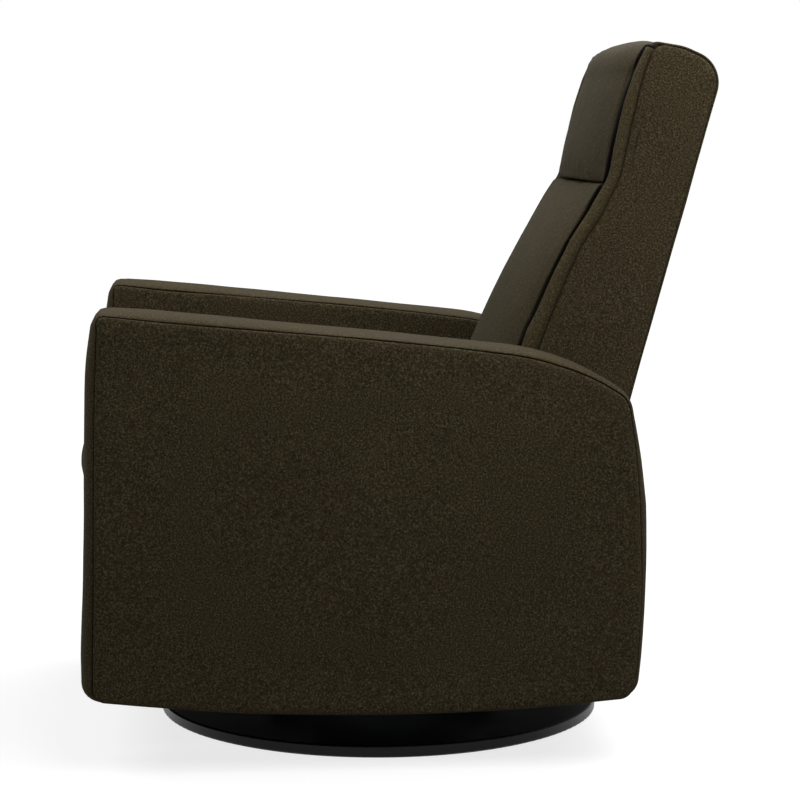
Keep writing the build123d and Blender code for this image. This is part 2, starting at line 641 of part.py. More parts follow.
def arm_frame():
    """The boards inside an arm: posts, top rail, shoulder, seat rail and bottom rail."""
    inset = BAND_DEPTH + SOFT_GAP
    post_low = ARM_BOTTOM_FRONT_HEIGHT + BASE_BOARD
    front_in = arm_front_y(post_low) + inset + FRAME_BOARD
    rail_front = ARM_FRONT_TOP_Y + inset + FRAME_BOARD / 4
    rail_low = arm_top_height(rail_front + FRAME_BOARD) - inset - FRAME_BOARD
    rear_front = rear_post_y() - FRAME_BOARD / 2
    rear_back = rear_post_y() + FRAME_BOARD / 2
    rear_high = ARM_REAR_TOP_HEIGHT - REAR_POST_DROP
    front_post = polygon(
        (front_in - FRAME_BOARD, post_low),
        (front_in, post_low),
        (arm_front_y(rail_low) + inset + FRAME_BOARD, rail_low),
        (arm_front_y(rail_low) + inset, rail_low),
    )
    rear_post = polygon(
        (rear_front, post_low), (rear_back, post_low), (rear_back, rear_high), (rear_front, rear_high)
    )
    rail_start = arm_top_height(rail_front) - inset
    rail_end = arm_top_height(ARM_SHOULDER_Y) - inset
    top_rail = polygon(
        (rail_front, rail_start),
        (ARM_SHOULDER_Y, rail_end),
        (ARM_SHOULDER_Y, rail_end - FRAME_BOARD),
        (rail_front, rail_start - FRAME_BOARD),
    )
    shoulder = polygon(
        (ARM_SHOULDER_Y, rail_end),
        (rear_back, rear_high + FRAME_BOARD),
        (rear_back, rear_high),
        (ARM_SHOULDER_Y, rail_end - FRAME_BOARD),
    )
    boards = [slab(face, BAND_IN, BAND_OUT) for face in (front_post, top_rail, shoulder)]

    rail_in = BAND_IN + FRAME_RAIL_WIDTH
    rear_board = slab(rear_post, BAND_IN, rail_in)
    seat_low = SIDE_BAR_BOTTOM
    seat_rail_front = arm_front_y(seat_low + SIDE_BAR_HEIGHT) + inset + FRAME_BOARD
    seat_rail = block(BAND_IN, rail_in, seat_rail_front, rear_front, seat_low, seat_low + SIDE_BAR_HEIGHT)
    for y in PLATE_BOLT_YS:
        seat_rail -= side_bolt_hole(y)
    low = ROCK_Z - RAIL_HEIGHT / 2
    bottom_rail = block(BAND_IN, rail_in, front_in, rear_front, low, low + RAIL_HEIGHT)
    for y in beam_bolt_ys():
        bottom_rail -= beam_bolt_hole(y)
        rear_board -= beam_bolt_hole(y)
    return boards + [rear_board, seat_rail, bottom_rail]


def arm_base_board():
    """The curved board that closes an arm's underside, between the ends of its band."""
    inset = BAND_DEPTH + SOFT_GAP
    front_y = arm_front_y(ARM_BOTTOM_FRONT_HEIGHT + BASE_BOARD) + inset
    front = (front_y, ARM_BOTTOM_FRONT_HEIGHT)
    rear = (ARM_REAR_BOTTOM_Y - inset, ARM_BOTTOM_REAR_HEIGHT)
    low = [front, (ARM_BOTTOM_Y, ARM_BOTTOM_HEIGHT), rear]
    high = [(y, z + BASE_BOARD) for y, z in low]
    face = make_face([
        ThreePointArc(*low),
        Line(low[2], high[2]),
        ThreePointArc(*reversed(high)),
        Line(high[0], low[0]),
    ])
    return slab(face, BAND_IN, BAND_OUT)


def build_arms():
    """Padded panels, crowned boxing band, frame and base board of each arm."""
    middle = (BAND_IN + BAND_OUT) / 2
    band = loft([
        Plane.YZ.offset(BAND_IN) * arm_outline(0),
        Plane.YZ.offset(middle) * arm_outline(BAND_CROWN),
        Plane.YZ.offset(BAND_OUT) * arm_outline(0),
    ])
    band -= slab(arm_outline(-BAND_DEPTH, ARM_BOTTOM_HEIGHT - BASE_BOARD), BAND_IN, BAND_OUT)
    outer = loft([
        Plane.YZ.offset(BAND_OUT) * arm_outline(0),
        Plane.YZ.offset(ARM_OUT) * arm_outline(-PANEL_DRAW),
    ])
    inner = loft([
        Plane.YZ.offset(ARM_IN) * arm_outline(-PANEL_DRAW),
        Plane.YZ.offset(BAND_IN) * arm_outline(0),
    ])
    for y in PLATE_BOLT_YS:
        inner -= side_bolt_hole(y)
    for y in beam_bolt_ys():
        inner -= beam_bolt_hole(y)
    frame = arm_frame()
    pieces = {"arm_band": [band], "arm_outer_panel": [outer], "arm_inner_panel": [inner], "arm_frame": frame}
    for name, shapes in pieces.items():
        keep("left_" + name, *shapes)
        keep("right_" + name, *[mirrored(shape) for shape in shapes])
    keep("arm_base_boards", *both(arm_base_board()))

    bolts = []
    head_in = BAND_IN + FRAME_RAIL_WIDTH
    for y in beam_bolt_ys():
        bolt = cross_pin(BEAM_BOLT_RADIUS, ARM_IN - BEAM_BOLT_GRIP, head_in, (y, ROCK_Z))
        bolt += cross_pin(2 * BEAM_BOLT_RADIUS, head_in, head_in + BEAM_BOLT_HEAD, (y, ROCK_Z))
        bolts += both(bolt)
    keep("beam_bolts", *bolts)


def build_side_plates():
    """Steel side plates, with the fixed pins of the recline and legrest hinges."""
    bar_top = SIDE_BAR_BOTTOM + SIDE_BAR_HEIGHT
    outline = polygon(
        (LEGREST_Y, SIDE_BAR_BOTTOM),
        (SIDE_BAR_REAR_Y, SIDE_BAR_BOTTOM),
        (RECLINE_Y + RECLINE_BOSS_RADIUS, bar_top),
        (RECLINE_Y + RECLINE_BOSS_RADIUS, RECLINE_Z),
        (RECLINE_Y - RECLINE_BOSS_RADIUS, RECLINE_Z),
        (SIDE_BAR_REAR_Y - SIDE_BAR_HEIGHT, bar_top),
        (LEGREST_Y, bar_top),
    )
    outline += Pos(*RECLINE_AXIS) * Circle(RECLINE_BOSS_RADIUS)
    outline += Pos(*LEGREST_AXIS) * Circle(LEGREST_BOSS_RADIUS)
    plate = slab(outline, PLATE_IN, ARM_IN)
    plate -= cross_pin(RECLINE_PIN_RADIUS + FIT, PLATE_IN, ARM_IN, RECLINE_AXIS)
    plate -= cross_pin(LEGREST_PIN_RADIUS + FIT, PLATE_IN, ARM_IN, LEGREST_AXIS)

    bolts = []
    head = PLATE_IN - PLATE_BOLT_HEAD
    for y in PLATE_BOLT_YS:
        centre = (y, SIDE_BAR_BOTTOM + PLATE_BOLT_RISE)
        bolt = cross_pin(PLATE_BOLT_RADIUS, PLATE_IN, BAND_IN + FRAME_RAIL_WIDTH, centre)
        bolts += both(bolt + cross_pin(PLATE_BOLT_HEAD_RADIUS, head, PLATE_IN, centre))
        plate -= side_bolt_hole(y)
    for y in SEAT_SCREW_YS:
        plate -= seat_screw_hole(y)
    keep("side_plates", *both(plate))
    keep("side_plate_bolts", *bolts)
    keep("recline_pins", *both(cross_pin(RECLINE_PIN_RADIUS, STILE_IN, ARM_IN, RECLINE_AXIS)))
    pin_in = PLATE_IN - LEGREST_PIN_GRIP
    keep("legrest_pins", *both(cross_pin(LEGREST_PIN_RADIUS, pin_in, ARM_IN, LEGREST_AXIS)))


def seat_screw_hole(y):
    """The hole of a screw that holds a seat rail to its side plate."""
    centre = (y, SEAT_RAIL_BOTTOM + SEAT_RAIL_HEIGHT / 2)
    return cross_pin(SEAT_SCREW_RADIUS + FIT, PLATE_IN - SEAT_RAIL_WIDTH, ARM_IN, centre)


def seat_spring(x):
    """One zigzag seat spring, bent from a single wire, running front to rear."""
    z = SEAT_RAIL_BOTTOM + SEAT_RAIL_HEIGHT + SEAT_SPRING_WIRE_RADIUS + FIT
    first = SEAT_FRONT_Y + SEAT_RAIL_WIDTH / 4
    pitch = (SEAT_REAR_Y - SEAT_RAIL_WIDTH / 4 - first) / (SEAT_SPRING_ROWS - 1)
    edges = []
    for row in range(SEAT_SPRING_ROWS):
        side = 1 if row % 2 == 0 else -1
        y = first + pitch * row
        near = x - side * SEAT_SPRING_HALF_WIDTH
        far = x + side * SEAT_SPRING_HALF_WIDTH
        edges.append(Line((near, y, z), (far, y, z)))
        if row < SEAT_SPRING_ROWS - 1:
            bend = (far + side * pitch / 2, y + pitch / 2, z)
            edges.append(ThreePointArc((far, y, z), bend, (far, y + pitch, z)))
    start = (x - SEAT_SPRING_HALF_WIDTH, first, z)
    section = Plane(origin=start, z_dir=(1, 0, 0)) * Circle(SEAT_SPRING_WIRE_RADIUS)
    return sweep(section, path=Wire(edges))


def crowned(section, half_width):
    """A cushion lofted across the chair: fullest in the middle, drawn in at both sides."""
    stations = ((-1.0, 0.0), (-0.72, 0.68), (0.0, 1.0), (0.72, 0.68), (1.0, 0.0))
    faces = [Plane.YZ.offset(place * half_width) * section(fullness) for place, fullness in stations]
    return loft(faces)


def seat_section(fullness):
    """Side outline of the seat cushion: rounded nose, crowned top and upright rear."""
    slack = 1.0 - fullness
    bottom = SEAT_RAIL_BOTTOM + SEAT_RAIL_HEIGHT + 2 * SEAT_SPRING_WIRE_RADIUS + SOFT_GAP
    drop = SEAT_DRAW_TOP * slack
    nose_y = SEAT_NOSE_Y + SEAT_DRAW_FRONT * slack
    heel = (nose_y + SEAT_NOSE_DEPTH, bottom)
    nose = (nose_y, SEAT_NOSE_HEIGHT - drop / 2)
    brow = (nose_y + SEAT_NOSE_DEPTH, SEAT_FRONT_HEIGHT - drop)
    crown = ((SEAT_NOSE_Y + SEAT_CUSHION_REAR_Y) / 2, SEAT_CROWN_HEIGHT - drop)
    back_top = (SEAT_CUSHION_REAR_Y, SEAT_REAR_HEIGHT - drop)
    back_bottom = (SEAT_CUSHION_REAR_Y, bottom)
    return make_face([
        ThreePointArc(heel, nose, brow),
        ThreePointArc(brow, crown, back_top),
        Line(back_top, back_bottom),
        Line(back_bottom, heel),
    ])


def build_seat():
    """Seat frame between the side plates, its springs and the seat cushion."""
    low = SEAT_RAIL_BOTTOM
    high = low + SEAT_RAIL_HEIGHT
    rail_in = PLATE_IN - SEAT_RAIL_WIDTH
    side = block(rail_in, PLATE_IN, SEAT_FRONT_Y, SEAT_REAR_Y, low, high)
    screws = []
    centre_z = low + SEAT_RAIL_HEIGHT / 2
    for y in SEAT_SCREW_YS:
        side -= seat_screw_hole(y)
        shank = cross_pin(SEAT_SCREW_RADIUS, rail_in, ARM_IN, (y, centre_z))
        head = cross_pin(SEAT_SCREW_HEAD_RADIUS, rail_in - SEAT_SCREW_HEAD, rail_in, (y, centre_z))
        screws += both(shank + head)
    front = block(-rail_in, rail_in, SEAT_FRONT_Y, SEAT_FRONT_Y + SEAT_RAIL_WIDTH, low, high)
    rear = block(-rail_in, rail_in, SEAT_REAR_Y - SEAT_RAIL_WIDTH, SEAT_REAR_Y, low, high)
    keep("seat_frame", *both(side), front, rear)
    keep("seat_screws", *screws)

    middle = (SEAT_SPRING_COUNT - 1) / 2
    places = [(index - middle) * SEAT_SPRING_SPACING for index in range(SEAT_SPRING_COUNT)]
    keep("seat_springs", *[seat_spring(x) for x in places])
    keep("seat_cushion", crowned(seat_section, BETWEEN_PLATES))


def build_rear_panel():
    """The padded board that closes the chair body behind the back's tail."""
    half_width = ARM_IN - SOFT_GAP
    board_out = REAR_PANEL_Y + REAR_BOARD
    low = REAR_PANEL_BOTTOM
    high = REAR_PANEL_TOP
    keep("rear_panel_board", block(-half_width, half_width, REAR_PANEL_Y, board_out, low, high))
    inner = Rectangle(2 * half_width, high - low)
    draw = REAR_PAD_DRAW
    outer = Rectangle(2 * (half_width - draw), high - low - 2 * draw)
    middle = (low + high) / 2
    start = Plane((0, board_out, middle), x_dir=(1, 0, 0), z_dir=(0, 1, 0))
    end = Plane((0, board_out + REAR_PAD, middle), x_dir=(1, 0, 0), z_dir=(0, 1, 0))
    keep("rear_panel_pad", loft([start * inner, end * outer], ruled=True))


def seam_y(height):
    """Front seam of the back's side panel: it kinks at the notch under the headrest."""
    if height < BACK_NOTCH_HEIGHT:
        return BACK_NOTCH_Y - (BACK_NOTCH_HEIGHT - height) * tan(radians(BACK_FRONT_ANGLE))
    return BACK_NOTCH_Y + (height - BACK_NOTCH_HEIGHT) * tan(radians(BACK_HEAD_ANGLE))


def back_rear_y(height, inset=0.0):
    """Rear edge of the back at a height, moved inward by inset."""
    lean = radians(BACK_REAR_ANGLE)
    return BACK_REAR_Y + (height - BACK_SIDE_BOTTOM) * tan(lean) - inset / cos(lean)


def back_top_height(y, inset=0.0):
    """Top edge of the back at a depth, moved inward by inset."""
    fall = (y - BACK_TOP_FRONT_Y) * BACK_TOP_SLOPE
    return BACK_TOP_HEIGHT - fall - inset * hypot(1, BACK_TOP_SLOPE)


def back_rear_corner(top_inset, rear_inset):
    """Where the back's top and rear edges meet, each moved inward by its inset."""
    lean = tan(radians(BACK_REAR_ANGLE))
    rear_at_zero = back_rear_y(0.0, rear_inset)
    top_at_zero = back_top_height(0.0, top_inset)
    height = (top_at_zero - BACK_TOP_SLOPE * rear_at_zero) / (1 + BACK_TOP_SLOPE * lean)
    return rear_at_zero + lean * height, height


def back_side_outline(draw):
    """Side panel of the back with its rolled front border, drawn in all round by draw."""
    rear_inset = BACK_COVER + SOFT_GAP + draw
    bottom = BACK_SIDE_BOTTOM + draw
    top_front_y = BACK_TOP_FRONT_Y - BACK_BORDER_TOP + draw
    points = [
        (seam_y(bottom) - BACK_BORDER_LOW + draw, bottom),
        (BACK_NOTCH_Y - BACK_BORDER_NOTCH + draw, BACK_NOTCH_HEIGHT),
        (top_front_y, back_top_height(top_front_y, draw)),
        back_rear_corner(draw, rear_inset),
        (back_rear_y(bottom, rear_inset), bottom),
    ]
    radii = [0, 0, BACK_TOP_FRONT_ROUND, BACK_TOP_REAR_ROUND - BACK_COVER, 0]
    return make_face(FilletPolyline(*points, radius=radii, close=True))


def frame_front_y(height):
    """Front edge of the back's stiles, behind the cushions and the webbing."""
    return seam_y(height) + FRAME_SETBACK


def stile_outline():
    """Side outline of a back stile, from the tail under the seat up to the top."""
    inset = BACK_COVER + SOFT_GAP
    top_front = frame_front_y(BACK_TOP_HEIGHT)
    corner_y, corner_height = back_rear_corner(inset, inset)
    corner_low = corner_height - BACK_TOP_REAR_ROUND
    boss = RECLINE_BOSS_RADIUS
    return polygon(
        (RECLINE_Y - boss, RECLINE_Z - boss / 2),
        (RECLINE_Y - boss, RECLINE_Z + boss),
        (frame_front_y(BACK_SIDE_BOTTOM), BACK_SIDE_BOTTOM),
        (frame_front_y(BACK_NOTCH_HEIGHT), BACK_NOTCH_HEIGHT),
        (top_front, back_top_height(top_front, inset)),
        (corner_y - BACK_TOP_REAR_ROUND, corner_height),
        (back_rear_y(corner_low, inset), corner_low),
        (back_rear_y(BACK_TAIL_HEIGHT, inset), BACK_TAIL_HEIGHT),
        (RECLINE_Y, BACK_TAIL_HEIGHT),
    )


def rear_cover():
    """Padded cover of the back's rear, wrapping over its top between the side panels."""
    start_y = frame_front_y(BACK_TOP_HEIGHT)
    outer = [
        (start_y, back_top_height(start_y)),
        back_rear_corner(0.0, 0.0),
        (back_rear_y(BACK_TAIL_HEIGHT), BACK_TAIL_HEIGHT),
    ]
    inner = [
        (back_rear_y(BACK_TAIL_HEIGHT, BACK_COVER), BACK_TAIL_HEIGHT),
        back_rear_corner(BACK_COVER, BACK_COVER),
        (start_y, back_top_height(start_y, BACK_COVER)),
    ]
    face = make_face([
        FilletPolyline(*outer, radius=BACK_TOP_REAR_ROUND),
        Line(outer[2], inner[0]),
        FilletPolyline(*inner, radius=BACK_TOP_REAR_ROUND - BACK_COVER),
        Line(inner[2], outer[0]),
    ])
    cover = slab(face, -BETWEEN_PLATES, BETWEEN_PLATES)
    for room in both(slab(back_side_outline(-SOFT_GAP), STILE_OUT - SOFT_GAP, BETWEEN_PLATES)):
        cover -= room
    return cover


def lumbar_section(fullness):
    """Side outline of the lumbar cushion, between the webbing and its crowned front."""
    def front(height, share):
        return seam_y(height) - CUSHION_EDGE - LUMBAR_CROWN * fullness * share

    def rear(height):
        return frame_front_y(height) - STRAP - SOFT_GAP

    middle = (LUMBAR_BOTTOM + LUMBAR_TOP) / 2
    top_front = (front(LUMBAR_TOP, LUMBAR_TOP_SHARE), LUMBAR_TOP)
    bottom_front = (front(LUMBAR_BOTTOM, 1.0), LUMBAR_BOTTOM)
    return make_face([
        ThreePointArc(bottom_front, (front(middle, 1.0) - LUMBAR_BOW, middle), top_front),
        Line(top_front, (rear(LUMBAR_TOP), LUMBAR_TOP)),
        Line((rear(LUMBAR_TOP), LUMBAR_TOP), (rear(LUMBAR_BOTTOM), LUMBAR_BOTTOM)),
        Line((rear(LUMBAR_BOTTOM), LUMBAR_BOTTOM), bottom_front),
    ])


def head_section(fullness):
    """Side outline of the headrest: crowned front that rolls over the top."""
    def front(height, share):
        return seam_y(height) - HEAD_CROWN * fullness * share - SOFT_GAP

    def rear(height):
        return frame_front_y(height) - STRAP - SOFT_GAP

    shoulder = BACK_TOP_HEIGHT - HEAD_SHOULDER
    middle = (HEAD_BOTTOM + shoulder) / 2
    rise = HEAD_TOP_RISE * fullness
    bottom_front = (front(HEAD_BOTTOM, 1.0), HEAD_BOTTOM)
    brow = (front(shoulder, 1.0), shoulder)
    top_rear_y = rear(BACK_TOP_HEIGHT) - HEAD_REAR_SETBACK
    top_front = (top_rear_y - HEAD_TOP_DEPTH, BACK_TOP_HEIGHT - 2.0 + rise)
    roll = between(between(brow, top_front, 0.5), (brow[0], top_front[1]), 0.38)
    top_rear = (top_rear_y, back_top_height(top_rear_y) + rise)
    nape = (rear(shoulder), shoulder)
    bottom_rear = (rear(HEAD_BOTTOM), HEAD_BOTTOM)
    return make_face([
        ThreePointArc(bottom_front, (front(middle, 1.0) - HEAD_BOW, middle), brow),
        ThreePointArc(brow, roll, top_front),
        Line(top_front, top_rear),
        Line(top_rear, nape),
        Line(nape, bottom_rear),
        Line(bottom_rear, bottom_front),
    ])


def hinge_bolt_places():
    """Where a hinge plate is bolted to its stile."""
    y = RECLINE_Y + RECLINE_BOSS_RADIUS
    return [
        (y, RECLINE_Z - RECLINE_BOSS_RADIUS),
        (y + RECLINE_BOSS_RADIUS, RECLINE_Z - RECLINE_BOSS_RADIUS),
        (y + RECLINE_BOSS_RADIUS, RECLINE_Z),
    ]


def build_back_frame():
    """Stiles, rails, webbing, hinge plates and drive levers of the back."""
    stile = slab(stile_outline(), STILE_IN, STILE_OUT)
    stile -= cross_pin(RECLINE_PIN_RADIUS + RUNNING_FIT, STILE_IN, STILE_OUT, RECLINE_AXIS)

    plate_out = STILE_OUT + HINGE_PLATE
    boss = RECLINE_BOSS_RADIUS
    outline = Pos(*RECLINE_AXIS) * Circle(boss)
    outline += polygon(
        (RECLINE_Y, RECLINE_Z + boss),
        (RECLINE_Y + 2.5 * boss, RECLINE_Z + boss / 2),
        (RECLINE_Y + 2.5 * boss, RECLINE_Z - 1.5 * boss),
        (RECLINE_Y + boss / 2, RECLINE_Z - 1.5 * boss),
        (RECLINE_Y - boss / 2, RECLINE_Z - boss / 2),
    )
    hinge = slab(outline, STILE_OUT, plate_out)
    hinge -= cross_pin(RECLINE_PIN_RADIUS + RUNNING_FIT, STILE_OUT, plate_out, RECLINE_AXIS)
    bolts = []
    for centre in hinge_bolt_places():
        hole = cross_pin(HINGE_BOLT_RADIUS + FIT, STILE_IN, plate_out, centre)
        stile -= hole
        hinge -= hole
        bolt = cross_pin(HINGE_BOLT_RADIUS, STILE_IN, plate_out, centre)
        bolts += both(bolt + cross_pin(HINGE_BOLT_HEAD_RADIUS, plate_out, plate_out + HINGE_BOLT_HEAD, centre))
    keep("back_stiles", *both(stile))
    keep("hinge_plates", *both(hinge))
    keep("hinge_bolts", *bolts)

    rails = []
    rail_lows = (
        BACK_SIDE_BOTTOM + LOW_RAIL_RISE,
        BACK_NOTCH_HEIGHT - NOTCH_RAIL_DROP,
        BACK_TOP_HEIGHT - TOP_RAIL_DROP,
    )
    for low in rail_lows:
        high = low + BACK_RAIL_HEIGHT
        front = frame_front_y(high) + BACK_RAIL_SETBACK
        rails.append(block(-STILE_IN, STILE_IN, front, front + BACK_RAIL, low, high))
    tail_low = BACK_TAIL_HEIGHT
    tail_high = tail_low + TAIL_RAIL_HEIGHT
    tail_front = LEVER_PIN[0] + ROD_EYE_RADIUS
    tail = block(-STILE_IN, STILE_IN, tail_front, tail_front + TAIL_RAIL_DEPTH, tail_low, tail_high)
    keep("back_rails", *rails, tail)

    straps = []
    strap_lows = [BACK_NOTCH_HEIGHT - drop for drop in LUMBAR_STRAP_DROPS]
    strap_lows += [BACK_NOTCH_HEIGHT + rise for rise in HEAD_STRAP_RISES]
    for low in strap_lows:
        high = low + STRAP_WIDTH
        face = polygon(
            (frame_front_y(low) - STRAP, low),
            (frame_front_y(low), low),
            (frame_front_y(high), high),
            (frame_front_y(high) - STRAP, high),
        )
        straps.append(slab(face, -STILE_OUT, STILE_OUT))
    keep("back_webbing", *straps)

    eye = Pos(*LEVER_PIN) * Circle(ROD_EYE_RADIUS)
    arm = polygon(
        (LEVER_PIN[0] - ROD_EYE_RADIUS, LEVER_PIN[1]),
        (tail_front, LEVER_PIN[1]),
        (tail_front, tail_high),
        (LEVER_PIN[0] - ROD_EYE_RADIUS, tail_high),
    )
    keep("drive_levers", *both(slab(eye + arm, LEVER_X, LEVER_OUT) - link_pin_hole(LEVER_PIN)))
    keep("lever_pins", *both(link_pin(LEVER_PIN)))


def link_pin_hole(centre):
    """The hole that holds a link pin in its lever or crank."""
    return cross_pin(LINK_PIN_RADIUS + FIT, LEVER_X, LEVER_OUT, centre)


def link_pin(centre):
    """A headed pin that joins a lever or crank to the drive rod beside it."""
    head_in = ROD_OUT + THRUST_GAP
    pin = cross_pin(LINK_PIN_RADIUS, LEVER_X, head_in, centre)
    return pin + cross_pin(2 * LINK_PIN_RADIUS, head_in, head_in + LINK_PIN_HEAD, centre)


def build_back_padding():
    """Side panels, rear cover, lumbar cushion and headrest."""
    side = loft([
        Plane.YZ.offset(STILE_OUT) * back_side_outline(0.0),
        Plane.YZ.offset(BETWEEN_PLATES) * back_side_outline(BACK_SIDE_DRAW),
    ])
    keep("left_back_side", side)
    keep("right_back_side", mirrored(side))
    keep("back_rear_cover", rear_cover())
    half_width = STILE_OUT - CUSHION_SIDE_GAP
    keep("lumbar_cushion", crowned(lumbar_section, half_width))
    keep("headrest_cushion", crowned(head_section, half_width))


def build_drive_rods():
    """Flat rods from the back's levers to the legrest's cranks, slotted at the crank."""
    reach = hypot(LEVER_PIN[0] - CRANK_PIN[0], LEVER_PIN[1] - CRANK_PIN[1])
    lift = ROD_HALF_HEIGHT * (LEVER_PIN[0] - CRANK_PIN[0]) / reach
    slot_low = (CRANK_PIN[0], CRANK_PIN[1] - SLOT_DROP)
    outline = polygon(
        (CRANK_PIN[0], CRANK_PIN[1] - lift),
        (LEVER_PIN[0], LEVER_PIN[1] - lift),
        (LEVER_PIN[0], LEVER_PIN[1] + lift),
        (CRANK_PIN[0], CRANK_PIN[1] + lift),
    )
    outline += Pos(*LEVER_PIN) * Circle(ROD_EYE_RADIUS)
    outline += long_eye(CRANK_PIN, slot_low, ROD_EYE_RADIUS)
    outline -= Pos(*LEVER_PIN) * Circle(LINK_PIN_RADIUS + RUNNING_FIT)
    outline -= long_eye(CRANK_PIN, slot_low, LINK_PIN_RADIUS + SLOT_PLAY)
    keep("drive_rods", *both(slab(outline, ROD_IN, ROD_OUT)))


def long_eye(high, low, radius):
    """An upright outline with round ends at two places."""
    outline = Pos(*high) * Circle(radius)
    outline += Pos(*low) * Circle(radius)
    return outline + polygon(
        (high[0] - radius, high[1]),
        (high[0] + radius, high[1]),
        (low[0] + radius, low[1]),
        (low[0] - radius, low[1]),
    )


def legrest_section(fullness):
    """Side outline of the legrest pad, rounded over its hinge tube at the top."""
    slack = LEGREST_CROWN * (1.0 - fullness)
    radius = LEGREST_RADIUS
    front = LEGREST_Y - radius + slack
    rear = LEGREST_Y - LEGREST_RADIUS + LEGREST_PAD_DEPTH
    top = (LEGREST_Y, LEGREST_Z + radius)
    corner = sqrt(0.5)
    shin = ((front + LEGREST_Y) / 2, LEGREST_BOTTOM)
    return make_face([
        ThreePointArc((front, LEGREST_BOTTOM + radius), between((front, LEGREST_BOTTOM), shin, 0.3), shin),
        Line(shin, (rear, LEGREST_BOTTOM)),
        Line((rear, LEGREST_BOTTOM), (rear, LEGREST_Z - radius)),
        Line((rear, LEGREST_Z - radius), (LEGREST_Y + radius, LEGREST_Z)),
        ThreePointArc(
            (LEGREST_Y + radius, LEGREST_Z),
            (LEGREST_Y + radius * corner, LEGREST_Z + radius * corner),
            top,
        ),
        ThreePointArc(
            top,
            (LEGREST_Y - (LEGREST_Y - front) * corner, LEGREST_Z + radius * corner),
            (front, LEGREST_Z),
        ),
        Line((front, LEGREST_Z), (front, LEGREST_BOTTOM + radius)),
    ])


def build_legrest():
    """Legrest pad on its board, hinge tube and crank brackets."""
    tube_bore = LEGREST_PIN_RADIUS + RUNNING_FIT
    tube_radius = tube_bore + TUBE_RING
    tube = cross_pin(tube_radius, -BETWEEN_PLATES, BETWEEN_PLATES, LEGREST_AXIS)
    for bore in both(cross_pin(tube_bore, PLATE_IN - LEGREST_PIN_GRIP - THRUST_GAP, PLATE_IN, LEGREST_AXIS)):
        tube -= bore
    keep("legrest_tube", tube)

    board_front = LEGREST_Y - LEGREST_RADIUS + LEGREST_PAD_DEPTH + SOFT_GAP
    board_rear = board_front + LEGREST_BOARD
    board_low = LEGREST_BOTTOM + LEGREST_BOARD_MARGIN
    board_high = LEGREST_Z - LEGREST_BOARD_DROP
    half_width = BETWEEN_PLATES - LEGREST_BOARD_MARGIN
    keep("legrest_board", block(-half_width, half_width, board_front, board_rear, board_low, board_high))

    pad = crowned(legrest_section, BETWEEN_PLATES)
    pad -= cross_pin(tube_radius + SOFT_GAP, -BETWEEN_PLATES, BETWEEN_PLATES, LEGREST_AXIS)
    ring = tube_radius + TUBE_RING
    room = ring + SOFT_GAP
    slot_face = Pos(*LEGREST_AXIS) * Circle(room)
    slot_face += polygon(
        (LEGREST_Y - room, LEGREST_Z),
        (LEGREST_Y, LEGREST_Z + room),
        (board_rear + LEGREST_RADIUS, LEGREST_Z + room),
        (board_rear + LEGREST_RADIUS, board_high - SOFT_GAP),
        (LEGREST_Y - room, board_high - SOFT_GAP),
    )
    for cut in both(slab(slot_face, LEVER_X - SOFT_GAP, LEVER_OUT + SOFT_GAP)):
        pad -= cut
    keep("legrest_pad", pad)

    outline = Pos(*LEGREST_AXIS) * Circle(ring) + Pos(*CRANK_PIN) * Circle(ROD_EYE_RADIUS)
    outline += polygon(
        (LEGREST_Y - ring, LEGREST_Z),
        (LEGREST_Y + ring, LEGREST_Z),
        (CRANK_PIN[0] + ROD_EYE_RADIUS, CRANK_PIN[1]),
        (CRANK_PIN[0] + ROD_EYE_RADIUS, board_high - BRACKET_REACH),
        (board_rear, board_high - BRACKET_REACH),
        (board_rear, board_high),
    )
    bracket = slab(outline, LEVER_X, LEVER_OUT)
    bracket -= cross_pin(tube_radius + FIT, LEVER_X, LEVER_OUT, LEGREST_AXIS)
    bracket -= link_pin_hole(CRANK_PIN)
    keep("crank_brackets", *both(bracket))
    keep("crank_pins", *both(link_pin(CRANK_PIN)))


def main():
    """Build every piece and write one STEP file for each."""
    build_base()
    build_swivel()
    build_rocker()
    build_arms()
    build_side_plates()
    build_seat()
    build_rear_panel()
    build_back_frame()
    build_back_padding()
    build_drive_rods()
    build_legrest()
    os.makedirs("parts", exist_ok=True)
    for name, solids in PIECES.items():
        export_step(Compound(solids) if len(solids) > 1 else solids[0], f"parts/{name}.step")
    print(len(PIECES), "pieces written")


main()
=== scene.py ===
"""Dresses a swivel rocking chair's solid frame: upholstery, finishes and a plain studio."""

from math import atan2, cos, hypot, pi, radians, sin, sqrt, tan

import bmesh
import bpy
from mathutils import Matrix, Vector, noise


